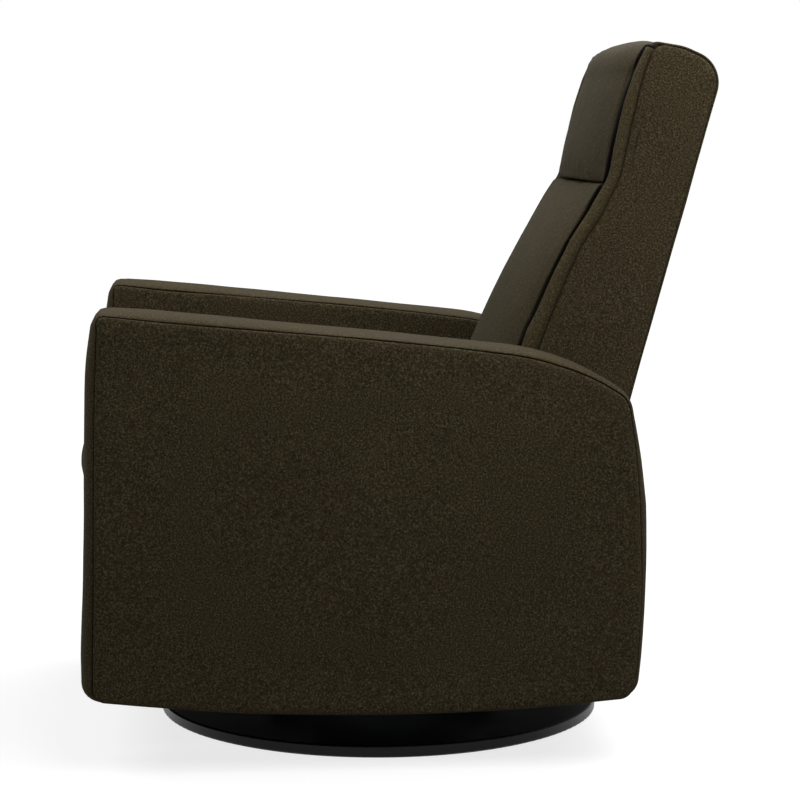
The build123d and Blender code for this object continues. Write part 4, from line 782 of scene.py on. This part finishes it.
def grained(name, scale, detail, stops, relief, surface):
    """A finish whose one grain sets its colour and its relief, given as (strength, distance in metres)."""
    tree, shader, place = new_finish(name)
    stretched = add_node(tree, "Mapping", {"Vector": place, "Scale": scale})
    links = {"Vector": stretched.outputs["Vector"], "Scale": 1.0, "Detail": detail}
    grain = add_node(tree, "TexNoise", links).outputs["Fac"]
    tint = add_node(tree, "ValToRGB", {"Fac": grain}, stops)
    bump = add_node(tree, "Bump", {"Height": grain, "Strength": relief[0], "Distance": relief[1]})
    connect(tree, shader, {"Base Color": tint.outputs["Color"], "Normal": bump.outputs["Normal"], **surface})
    return tree, shader, grain


def plated_steel(name):
    """Zinc-plated steel: a pale metal with fine drawn lines and a slightly cloudy plate."""
    stops = ((0.3, linear("#8d9194")), (0.7, linear("#b9bcbd")))
    tree, shader, lines = grained(name, DRAWN_LINES, 2.0, stops, (0.08, 0.0002), {"Metallic": 1.0})
    rough = add_node(tree, "MapRange", {"Value": lines, 1: 0.2, 2: 0.8, 3: 0.28, 4: 0.42})
    connect(tree, shader, {"Roughness": rough.outputs["Result"]})


def stained_beech(name):
    """Beech and plywood boards, planed and stained near black: long grain of 4 mm under a thin matt coat."""
    stops = ((0.25, linear("#16120d")), (0.5, linear("#231c14")), (0.8, linear("#31281d")))
    scale = tuple(1 / size for size in BEECH_GRAIN)
    grained(name, scale, 4.0, stops, (0.15, 0.0005), {"Roughness": 0.62})


def moulded(name, base, roughness):
    """Moulded nylon or rubber: an even body with a fine spark-eroded grain of about 1 mm."""
    paler = tuple(min(1.0, c * 1.25 + 0.004) for c in base[:3]) + (1.0,)
    scale = (1 / MOULD_GRAIN,) * 3
    grained(name, scale, 2.0, ((0.35, base), (0.7, paler)), (0.12, 0.0003), {"Roughness": roughness})


def black_cloth(name, thread):
    """Black polypropylene cloth: crossed threads, seen as a fine grid at the given spacing."""
    tree, shader, place = new_finish(name)
    scale = pi / thread / 10
    warp = add_node(tree, "TexWave", {"Vector": place, "Scale": scale}, bands_direction="X")
    weft = add_node(tree, "TexWave", {"Vector": place, "Scale": scale}, bands_direction="Y")
    weave = add_node(tree, "Math", {0: warp.outputs["Fac"], 1: weft.outputs["Fac"]}, operation="MULTIPLY")
    stops = ((0.0, linear("#0b0b0c")), (1.0, linear("#1f1f21")))
    threads = add_node(tree, "ValToRGB", {"Fac": weave.outputs["Value"]}, stops)
    bump = add_node(tree, "Bump", {"Height": weave.outputs["Value"], "Strength": 0.3, "Distance": 0.0005})
    links = {"Base Color": threads.outputs["Color"], "Normal": bump.outputs["Normal"], "Roughness": 0.85}
    connect(tree, shader, links)


CAD_FINISHES = {
    "disc_coat": ("base_disc",),
    "rubber_pad": ("floor_pad",),
    "frame_coat": (
        "swivel_plate", "pivot_towers", "rocker_rails", "cross_tubes", "side_plates", "hinge_plates",
        "drive_levers", "drive_rods", "crank_brackets", "recline_pins", "legrest_pins", "lever_pins",
        "crank_pins", "legrest_tube", "side_plate_bolts", "hinge_bolts",
    ),
    "zinc_steel": (
        "lower_race", "race_screws", "bearing_balls", "king_bolt", "king_nut", "upper_race", "swivel_screws",
        "rock_shaft", "shaft_collars", "beam_bolts", "seat_screws", "seat_springs",
    ),
    "nylon": ("ball_cage", "king_bush", "pivot_bushes"),
    "beech": (
        "front_beam", "rear_beam", "left_arm_frame", "right_arm_frame", "arm_base_boards", "seat_frame",
        "rear_panel_board", "back_stiles", "back_rails", "legrest_board",
    ),
    "strap_weave": ("back_webbing",),
}


class CHAIR_OT_finishes(bpy.types.Operator):
    """Make the chair's finishes and give the hard pieces of the frame theirs"""

    bl_idname = "chair.finishes"
    bl_label = "Finishes"

    def execute(self, context):
        _, colours = chosen()
        for name, (shade, contrast) in PAINTED_LIGHT_WOOLS.items():
            woven_wool(name, colours, shade, contrast)
        powder_coat("disc_coat", tuple(colours.disc), roughness=0.35, gloss=0.2)
        powder_coat("frame_coat", tuple(colours.frame_coat), roughness=0.45, gloss=0.5)
        plated_steel("zinc_steel")
        stained_beech("beech")
        moulded("nylon", linear("#d8d5cc"), roughness=0.5)
        moulded("rubber_pad", linear("#161616"), roughness=0.85)
        black_cloth("dust_weave", thread=0.0016)
        black_cloth("strap_weave", thread=0.003)
        for name, nodes in CAD_FINISHES.items():
            for node in nodes:
                coat(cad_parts[node].data, name)
        return {"FINISHED"}


class CHAIR_OT_arms(bpy.types.Operator):
    """Upholster both arms: outer and inner panels, and the crowned band between their seams"""

    bl_idname = "chair.arms"
    bl_label = "Arms"

    def execute(self, context):
        sizes, _ = chosen()
        outline = arm_outline(sizes.outline_step / 2)
        normals = outward(outline, True)
        eased = []
        for p, n in zip(outline, normals):
            eased.append(p + n * around_arm(SEAM_EASE, p, n, PANEL_UNDER_EASE, FRONT_CORNER_EASE))
        self.panel(eased, "outer", ARM_OUTER_LOW[0], ARM_OUTER_HIGH[0], sizes.panel_crown)
        self.panel(eased, "inner", ARM_INNER_HIGH[0], ARM_INNER_LOW[0], 0.0)
        self.band(outline, normals, sizes)
        return {"FINISHED"}

    def panel(self, outline, side, seam_x, face_x, crown):
        """One padded panel, and its mirror image."""
        turn = 1 if face_x > seam_x else -1

        def place(p, rise):
            return Vector((seam_x + turn * rise, p.x, p.y))

        piece = padded_panel(f"left_arm_{side}_cover", outline, place, abs(face_x - seam_x), crown)
        dress_both(piece, "chassis", "panel_wool", f"left_arm_{side}_panel")

    def band(self, outline, normals, sizes):
        """The boxing band, from under the front corner over the top to under the rear corner."""
        low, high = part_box("arm_base_boards")
        front, rear = low[1] - UNDER_MARGIN, high[1] + UNDER_MARGIN
        under = [p.y < high[2] and front < p.x < rear for p in outline]
        count = len(outline)
        first = next(i for i in range(count) if under[i - 1] and not under[i])
        order = [(first + step) % count for step in range(count) if not under[(first + step) % count]]
        path = [outline[i] for i in order]
        facing = [normals[i] for i in order]
        middle = (ARM_OUTER_LOW[0] + ARM_INNER_HIGH[0]) / 2
        half = ARM_OUTER_LOW[0] + BAND_OVERLAP - middle

        def section(index):
            p, n = path[index], facing[index]
            seam = around_arm(SEAM_EASE, p, n, 0.0, FRONT_CORNER_EASE) - BAND_SINK
            crest = max(around_arm(BAND_CREST, p, n, BAND_UNDER_CREST), seam + BAND_RISE)
            edge = [(BAND_LIP[-1][0] * half, -sizes.band_depth)]
            edge += [(share * half, seam + drop) for share, drop in reversed(BAND_LIP)]
            face = []
            for part in range(BAND_STEPS + 1):
                across = cos(pi * part / BAND_STEPS)
                full = (1 - abs(across) ** BAND_SQUARENESS) ** BAND_FULLNESS
                face.append((across * half, seam + (crest - seam) * full))
            other = [(-x, offset) for x, offset in reversed(edge)]
            return [(middle + x, offset) for x, offset in edge + face + other]

        piece = swept("left_arm_band_cover", path, facing, section)
        dress_both(piece, "chassis", "band_wool", "left_arm_band")


class CHAIR_OT_rock_springs(bpy.types.Operator):
    """Copy the four rock springs from the frame, their loose triangles joined up, and plate them in zinc"""

    bl_idname = "chair.rock_springs"
    bl_label = "Rock Springs"

    def execute(self, context):
        piece = merged_copy("rock_spring_coils", "rock_springs")
        coat(piece.data, "zinc_steel")
        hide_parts("rock_springs")
        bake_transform(piece)
        return {"FINISHED"}


class CHAIR_OT_seat(bpy.types.Operator):
    """Stuff the seat cushion and the legrest pad"""

    bl_idname = "chair.seat"
    bl_label = "Seat and Legrest"

    def execute(self, context):
        seat = stuffed("seat_cushion_cover", "seat_cushion", *SEAT_STUFFING)
        self.pull_nose(seat)
        dress(seat, "chassis", "cushion_wool", ("seat_cushion",))
        pad = stuffed("legrest_cover", "legrest_pad", *LEGREST_STUFFING)
        dress(pad, "legrest", "cushion_wool", ("legrest_pad",))
        return {"FINISHED"}

    def pull_nose(self, piece):
        """Bring the seat's nose, which the cloth has drawn in, out to where its solid ends."""
        vertices = piece.data.vertices
        short = min(vertex.co.y for vertex in vertices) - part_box("seat_cushion")[0][1]
        for vertex in vertices:
            forward = eased_share((NOSE_START - vertex.co.y) / NOSE_LENGTH)
            below = eased_share((NOSE_TOP - vertex.co.z) / NOSE_EASE)
            vertex.co.y -= short * forward * below


class CHAIR_OT_back_cushions(bpy.types.Operator):
    """Stuff the lumbar cushion and the headrest, and round them across their width"""

    bl_idname = "chair.back_cushions"
    bl_label = "Lumbar and Headrest"

    def execute(self, context):
        lumbar = stuffed("lumbar_cover", "lumbar_cushion", *LUMBAR_STUFFING)
        self.round_across(lumbar, "lumbar_cushion", LUMBAR_SETBACK, LUMBAR_FALL)
        self.stretch(lumbar, *LUMBAR_TOP_STRETCH)
        dress(lumbar, "back", "cushion_wool", ("lumbar_cushion",))
        head = stuffed("headrest_cover", "headrest_cushion", *HEADREST_STUFFING)
        self.round_across(head, "headrest_cushion", HEADREST_SETBACK, HEADREST_FALL)
        self.stretch(head, *HEADREST_TOP_STRETCH, HEADREST_SHOULDER_FALL)
        self.stretch(head, *HEADREST_FOOT_STRETCH)
        dress(head, "back", "cushion_wool", ("headrest_cushion",))
        return {"FINISHED"}

    def round_across(self, piece, node, setback, fall):
        """Crown the front, roll the sides down to their borders, pinch the cover in behind and paint shade in
        the groove.
        """
        vertices = piece.data.vertices
        half = max(vertex.co.x for vertex in vertices)
        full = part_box(node)[1][0] - SIDE_CLEARANCE
        low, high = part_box(node)[0][2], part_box(node)[1][2]
        quarter = (high - low) / 4
        front = lowest(((v.co.z, v.co.y) for v in vertices if abs(v.co.x) < half / 2), FRONT_STEP)
        inner = [v.co for v in vertices if low + quarter < v.co.z < high - quarter]
        edge = lowest(((abs(x), y - along(front, z)) for x, y, z in inner), EDGE_STEP)
        # Painted shade: the mask is full in the groove behind the side roll, where the border would shade the
        # cover
        groove_shade_layer = piece.data.attributes.new("tuck", "FLOAT", "POINT")
        for vertex, tuck in zip(vertices, groove_shade_layer.data):
            x, y, z = vertex.co
            across = abs(x) / half
            surface = along(front, z) + along(edge, abs(x))
            border_y = along(BACK_SEAM, z) - border_width(z)
            goal = along(front, z) + along(setback, z) + fall * across ** FALL_POWER
            roll = min(max(across - SIDE_ROLL_START, 0.0) / (1 - SIDE_ROLL_START), 1.0)
            goal += max(border_y - SIDE_STAND - goal, 0.0) * (1 - sqrt(1 - roll * roll))
            y += (goal - surface) * eased_share(1 - (y - surface) / SIDE_REACH)
            ahead = border_y - y
            pinch = eased_share((across - PINCH_ACROSS[0]) / PINCH_ACROSS[1])
            pinch = pinch * eased_share((PINCH_FRONT - ahead) / PINCH_FRONT)
            pinch = pinch * eased_share((ahead + PINCH_BACK[0]) / PINCH_BACK[1])
            vertex.co.x = x * full / half - TUCK_DEPTH * pinch * (1 if x > 0 else -1)
            vertex.co.y = y
            groove_shaded = eased_share((across - GROOVE_SHADE_ACROSS[0]) / GROOVE_SHADE_ACROSS[1])
            tuck.value = groove_shaded * eased_share((GROOVE_SHADE_AHEAD[0] - ahead) / GROOVE_SHADE_AHEAD[1])

    def stretch(self, piece, start, end, amount, falls=0.0):
        """Move the cloth up by amount at the height end and not at all at start; sides move less by falls."""
        half = max(vertex.co.x for vertex in piece.data.vertices)
        for vertex in piece.data.vertices:
            share = eased_share((vertex.co.z - start) / (end - start))
            vertex.co.z += amount * share * (1 - falls * (vertex.co.x / half) ** 2)


class CHAIR_OT_back_sides(bpy.types.Operator):
    """Upholster the back's side panels and the rolled border before each one"""

    bl_idname = "chair.back_sides"
    bl_label = "Back Sides"

    def execute(self, context):
        sizes, _ = chosen()
        self.panels(sizes)
        self.borders(sizes)
        return {"FINISHED"}

    def panels(self, sizes):
        """Side panels, from the front seam to the rear cover."""
        inset = BACK_SIDE_INSET
        top_y = BACK_TOP_FRONT_Y - BACK_SIDE_TOP_SHIFT
        seam = seam_places(BACK_BOTTOM, BACK_TOP)[1:-1]
        corners = [
            (along(BACK_SEAM, BACK_BOTTOM), BACK_BOTTOM),
            (back_rear_y(BACK_BOTTOM, inset), BACK_BOTTOM),
            back_corner(inset),
            back_top_crown(inset),
            (top_y, back_top_z(top_y, inset)),
        ]
        radii = [BACK_FOOT_ROUND, BACK_FOOT_ROUND, BACK_CORNER_ROUND, BACK_CROWN_ROUND, BACK_FRONT_ROUND]
        radii += [SEAM_ROUND] * len(seam)
        corners += reversed(seam)
        outline = rounded(corners, radii, True, sizes.outline_step / 2)
        seam_x = BACK_SIDE_LOW[0]

        def place(p, rise):
            return Vector((seam_x + rise, p.x, p.y))

        thickness = BACK_SIDE_HIGH[0] - seam_x
        name = "left_back_side_cover"
        piece = padded_panel(name, outline, place, thickness, BACK_SIDE_CROWN, BACK_SIDE_ROLL)
        dress_both(piece, "back", "back_wool", "left_back_side")

    def borders(self, sizes):
        """Rounded borders along the front seams, which roll over at the top."""
        seam = seam_places(BACK_BOTTOM, BACK_TOP - BORDER_TOP_DROP)
        path = rounded(seam, [SEAM_ROUND] * len(seam), False, sizes.outline_step / 2)
        normals = [-n for n in outward(path, False)]
        inner_x = BACK_SIDE_LOW[0] - BORDER_LAP
        outer_x = BACK_SIDE_HIGH[0]
        middle = (inner_x + outer_x) / 2
        half = (outer_x - inner_x) / 2

        def section(index):
            forward = border_width(path[index].y)
            places = [(outer_x - inset, offset) for inset, offset in BORDER_HEEL]
            for part in range(1, BORDER_STEPS - 1):
                angle = pi * part / BORDER_STEPS
                places.append((middle + half * cos(angle), forward * sin(angle)))
            return places + [(inner_x, -BORDER_TUCK)]

        piece = swept("left_back_border", path, normals, section)
        dress_both(piece, "back", "border_wool", None)


class CHAIR_OT_back_cover(bpy.types.Operator):
    """Upholster the back's rear, with the cover wrapping over the top"""

    bl_idname = "chair.back_cover"
    bl_label = "Back Cover"

    def execute(self, context):
        sizes, _ = chosen()
        tail_z = REAR_COVER_LOW[2]
        front_y = BACK_TOP_FRONT_Y + REAR_CLOTH_FRONT
        ends = [
            (back_rear_y(tail_z, 0.0), tail_z),
            back_corner(0.0),
            back_top_crown(0.0),
            (front_y, back_top_z(front_y, 0.0)),
        ]
        radii = (0.0, BACK_CORNER_ROUND, BACK_CROWN_ROUND, 0.0)
        path = rounded(ends, radii, False, sizes.outline_step / 2)
        normals = outward(path, False)
        half = REAR_COVER_HIGH[0] - REAR_CLOTH_INSET
        edge = [(half - inset, REAR_CLOTH_DEPTH * depth) for inset, depth in REAR_CLOTH_ROLL]
        shares = [1 - 2 * part / REAR_CLOTH_STEPS for part in range(1, REAR_CLOTH_STEPS)]
        flat = [(half * share, REAR_CLOTH_SWELL * (1 - share ** 2)) for share in shares]
        other = [(-x, depth) for x, depth in reversed(edge)]

        def section(index):
            return edge + flat + other

        piece = swept("back_rear_cloth", path, normals, section)
        dress(piece, "back", "back_wool", ("back_rear_cover",))
        return {"FINISHED"}


class CHAIR_OT_rear_panel(bpy.types.Operator):
    """Upholster the panel that closes the chair body behind the back"""

    bl_idname = "chair.rear_panel"
    bl_label = "Rear Panel"

    def execute(self, context):
        sizes, _ = chosen()
        half = REAR_PAD_HIGH[0] + REAR_PANEL_WRAP
        low, high = REAR_PAD_LOW[2] - REAR_PANEL_WRAP, REAR_PAD_HIGH[2] + REAR_PANEL_WRAP
        corners = [(half, low), (-half, low), (-half, high), (half, high)]
        outline = rounded(corners, (REAR_PANEL_ROUND,) * 4, True, sizes.outline_step)
        outline.reverse()

        def place(p, rise):
            return Vector((p.x, REAR_PAD_LOW[1] + rise, p.y))

        thickness = REAR_PAD_HIGH[1] - REAR_PAD_LOW[1]
        crown = sizes.panel_crown
        piece = padded_panel("rear_panel_cover", outline, place, thickness, crown, REAR_PANEL_ROLL)
        dress(piece, "chassis", "panel_wool", ("rear_panel_pad",))
        return {"FINISHED"}


class CHAIR_OT_dust_cloths(bpy.types.Operator):
    """Stretch a dust cloth under the front and under the rear of the body"""

    bl_idname = "chair.dust_cloths"
    bl_label = "Dust Cloths"

    def execute(self, context):
        width = DUST_HIGH[0] - DUST_LOW[0]
        columns, rows = DUST_GRID
        starts = {"front": DUST_LOW[1], "rear": DUST_HIGH[1] - DUST_DEPTH}
        for name, start in starts.items():
            deselect()
            bpy.ops.mesh.primitive_grid_add(x_subdivisions=columns, y_subdivisions=rows, size=1.0)
            cloth = context.active_object
            cloth.name = f"{name}_dust_cloth"
            for vertex in cloth.data.vertices:
                x, y = vertex.co.x, vertex.co.y
                sag = DUST_SAG * (1 - 4 * x * x) * (1 - 4 * y * y)
                vertex.co = (x * width, start + DUST_DEPTH * (y + 0.5), DUST_HIGH[2] - DUST_DROP - sag)
            apply_modifier(cloth, "SOLIDIFY", thickness=DUST_THICKNESS)
            smooth_shade(cloth)
            dress(cloth, "chassis", "dust_weave", ("dust_covers",))
        return {"FINISHED"}


class CHAIR_OT_stage(bpy.types.Operator):
    """Set the floor, the soft lights, the white surround and the camera"""

    bl_idname = "chair.stage"
    bl_label = "Stage"

    def execute(self, context):
        _, colours = chosen()
        scene = context.scene
        scene.view_settings.view_transform = "Standard"
        self.floor(colours)
        self.surround(scene)
        for name, place in LAMPS.items():
            self.lamp(name, place)
        self.camera(scene)
        return {"FINISHED"}

    def floor(self, colours):
        """A plain pale floor that keeps the chair's shadow, and glows white where it meets the surround."""
        deselect()
        bpy.ops.mesh.primitive_plane_add(size=FLOOR_SIZE)
        floor = bpy.context.active_object
        floor.name = "studio_floor"
        tree, shader, place = new_finish("pale_floor")
        connect(tree, shader, {"Base Color": colours.floor, "Roughness": 0.9})
        light = add_node(tree, "LightPath")
        links = {0: light.outputs["Is Camera Ray"], 1: light.outputs["Is Glossy Ray"]}
        seen = add_node(tree, "Math", links, operation="MAXIMUM")
        distance = add_node(tree, "VectorMath", {0: place}, operation="LENGTH")
        links = {"Value": distance.outputs["Value"], 1: GLOW_START, 2: GLOW_END, 3: GLOW_NEAR, 4: 1.0}
        strength = add_node(tree, "MapRange", links)
        glow = add_node(tree, "Emission", {"Strength": strength.outputs["Result"]})
        lit = shader.outputs["BSDF"]
        glowing = add_node(tree, "AddShader", {0: lit, 1: glow.outputs["Emission"]})
        mix = add_node(
            tree, "MixShader", {"Fac": seen.outputs["Value"], 1: lit, 2: glowing.outputs["Shader"]}
        )
        output = next(node for node in tree.nodes if node.type == "OUTPUT_MATERIAL")
        tree.links.new(mix.outputs["Shader"], output.inputs["Surface"])
        coat(floor.data, "pale_floor")

    def surround(self, scene):
        """White to the camera, and a soft dim light on the chair."""
        world = bpy.data.worlds.new("white_surround")
        scene.world = world
        world.use_nodes = True
        tree = world.node_tree
        tree.nodes.clear()
        light = add_node(tree, "LightPath")
        links = {"Value": light.outputs["Is Camera Ray"], 3: SURROUND_LIGHT, 4: 1.0}
        strength = add_node(tree, "MapRange", links)
        glow = add_node(tree, "Background", {"Color": (1, 1, 1, 1), "Strength": strength.outputs["Result"]})
        add_node(tree, "OutputWorld", {"Surface": glow.outputs["Background"]})

    def lamp(self, name, place):
        """A square soft light aimed at the chair."""
        deselect()
        bpy.ops.object.light_add(type="AREA", location=place)
        lamp = bpy.context.active_object
        lamp.name = name
        lamp.data.shape = "SQUARE"
        lamp.data.size = LAMP_SIZE
        lamp.data.energy = LAMP_POWER
        gaze = Vector(LAMP_TARGET) - Vector(place)
        lamp.rotation_euler = gaze.to_track_quat("-Z", "Y").to_euler()

    def camera(self, scene):
        """The camera stands at the sitter's left, a little ahead of the chair and above it."""
        yaw, pitch = CAMERA_YAW, CAMERA_PITCH
        deselect()
        bpy.ops.object.camera_add(location=CAMERA_PLACE)
        camera = bpy.context.active_object
        camera.name = "side_camera"
        gaze = Vector((-cos(yaw) * cos(pitch), sin(yaw) * cos(pitch), -sin(pitch)))
        camera.rotation_euler = gaze.to_track_quat("-Z", "Y").to_euler()
        camera.data.sensor_width = 36.0
        camera.data.lens = CAMERA_LENS
        camera.data.clip_end = CAMERA_REACH
        scene.camera = camera


OPERATORS = (
    CHAIR_OT_finishes,
    CHAIR_OT_rock_springs,
    CHAIR_OT_arms,
    CHAIR_OT_seat,
    CHAIR_OT_back_cushions,
    CHAIR_OT_back_sides,
    CHAIR_OT_back_cover,
    CHAIR_OT_rear_panel,
    CHAIR_OT_dust_cloths,
    CHAIR_OT_stage,
)


class CHAIR_PT_sidebar(bpy.types.Panel):
    """Sizes, colours and steps of the chair"""

    bl_idname = "CHAIR_PT_sidebar"
    bl_label = "Swivel Rocking Chair"
    bl_space_type = "VIEW_3D"
    bl_region_type = "UI"
    bl_category = "Chair"

    def draw(self, context):
        layout = self.layout
        for group in (context.scene.chair_sizes, context.scene.chair_colours):
            for key in group.__annotations__:
                layout.prop(group, key)
        for operator in OPERATORS:
            layout.operator(operator.bl_idname)


CLASSES = (ChairColours, ChairSizes) + OPERATORS + (CHAIR_PT_sidebar,)


def register():
    """Register the classes and hang the chair's sizes and colours on the scene."""
    for each in CLASSES:
        bpy.utils.register_class(each)
    bpy.types.Scene.chair_colours = bpy.props.PointerProperty(type=ChairColours)
    bpy.types.Scene.chair_sizes = bpy.props.PointerProperty(type=ChairSizes)


def unregister():
    """Take the classes out again."""
    del bpy.types.Scene.chair_sizes
    del bpy.types.Scene.chair_colours
    for each in reversed(CLASSES):
        bpy.utils.unregister_class(each)


def main():
    """Dress the chair step by step."""
    register()
    bpy.ops.chair.finishes()
    bpy.ops.chair.rock_springs()
    bpy.ops.chair.arms()
    bpy.ops.chair.seat()
    bpy.ops.chair.back_cushions()
    bpy.ops.chair.back_sides()
    bpy.ops.chair.back_cover()
    bpy.ops.chair.rear_panel()
    bpy.ops.chair.dust_cloths()
    bpy.ops.chair.stage()


if __name__ == "__main__":
    main()
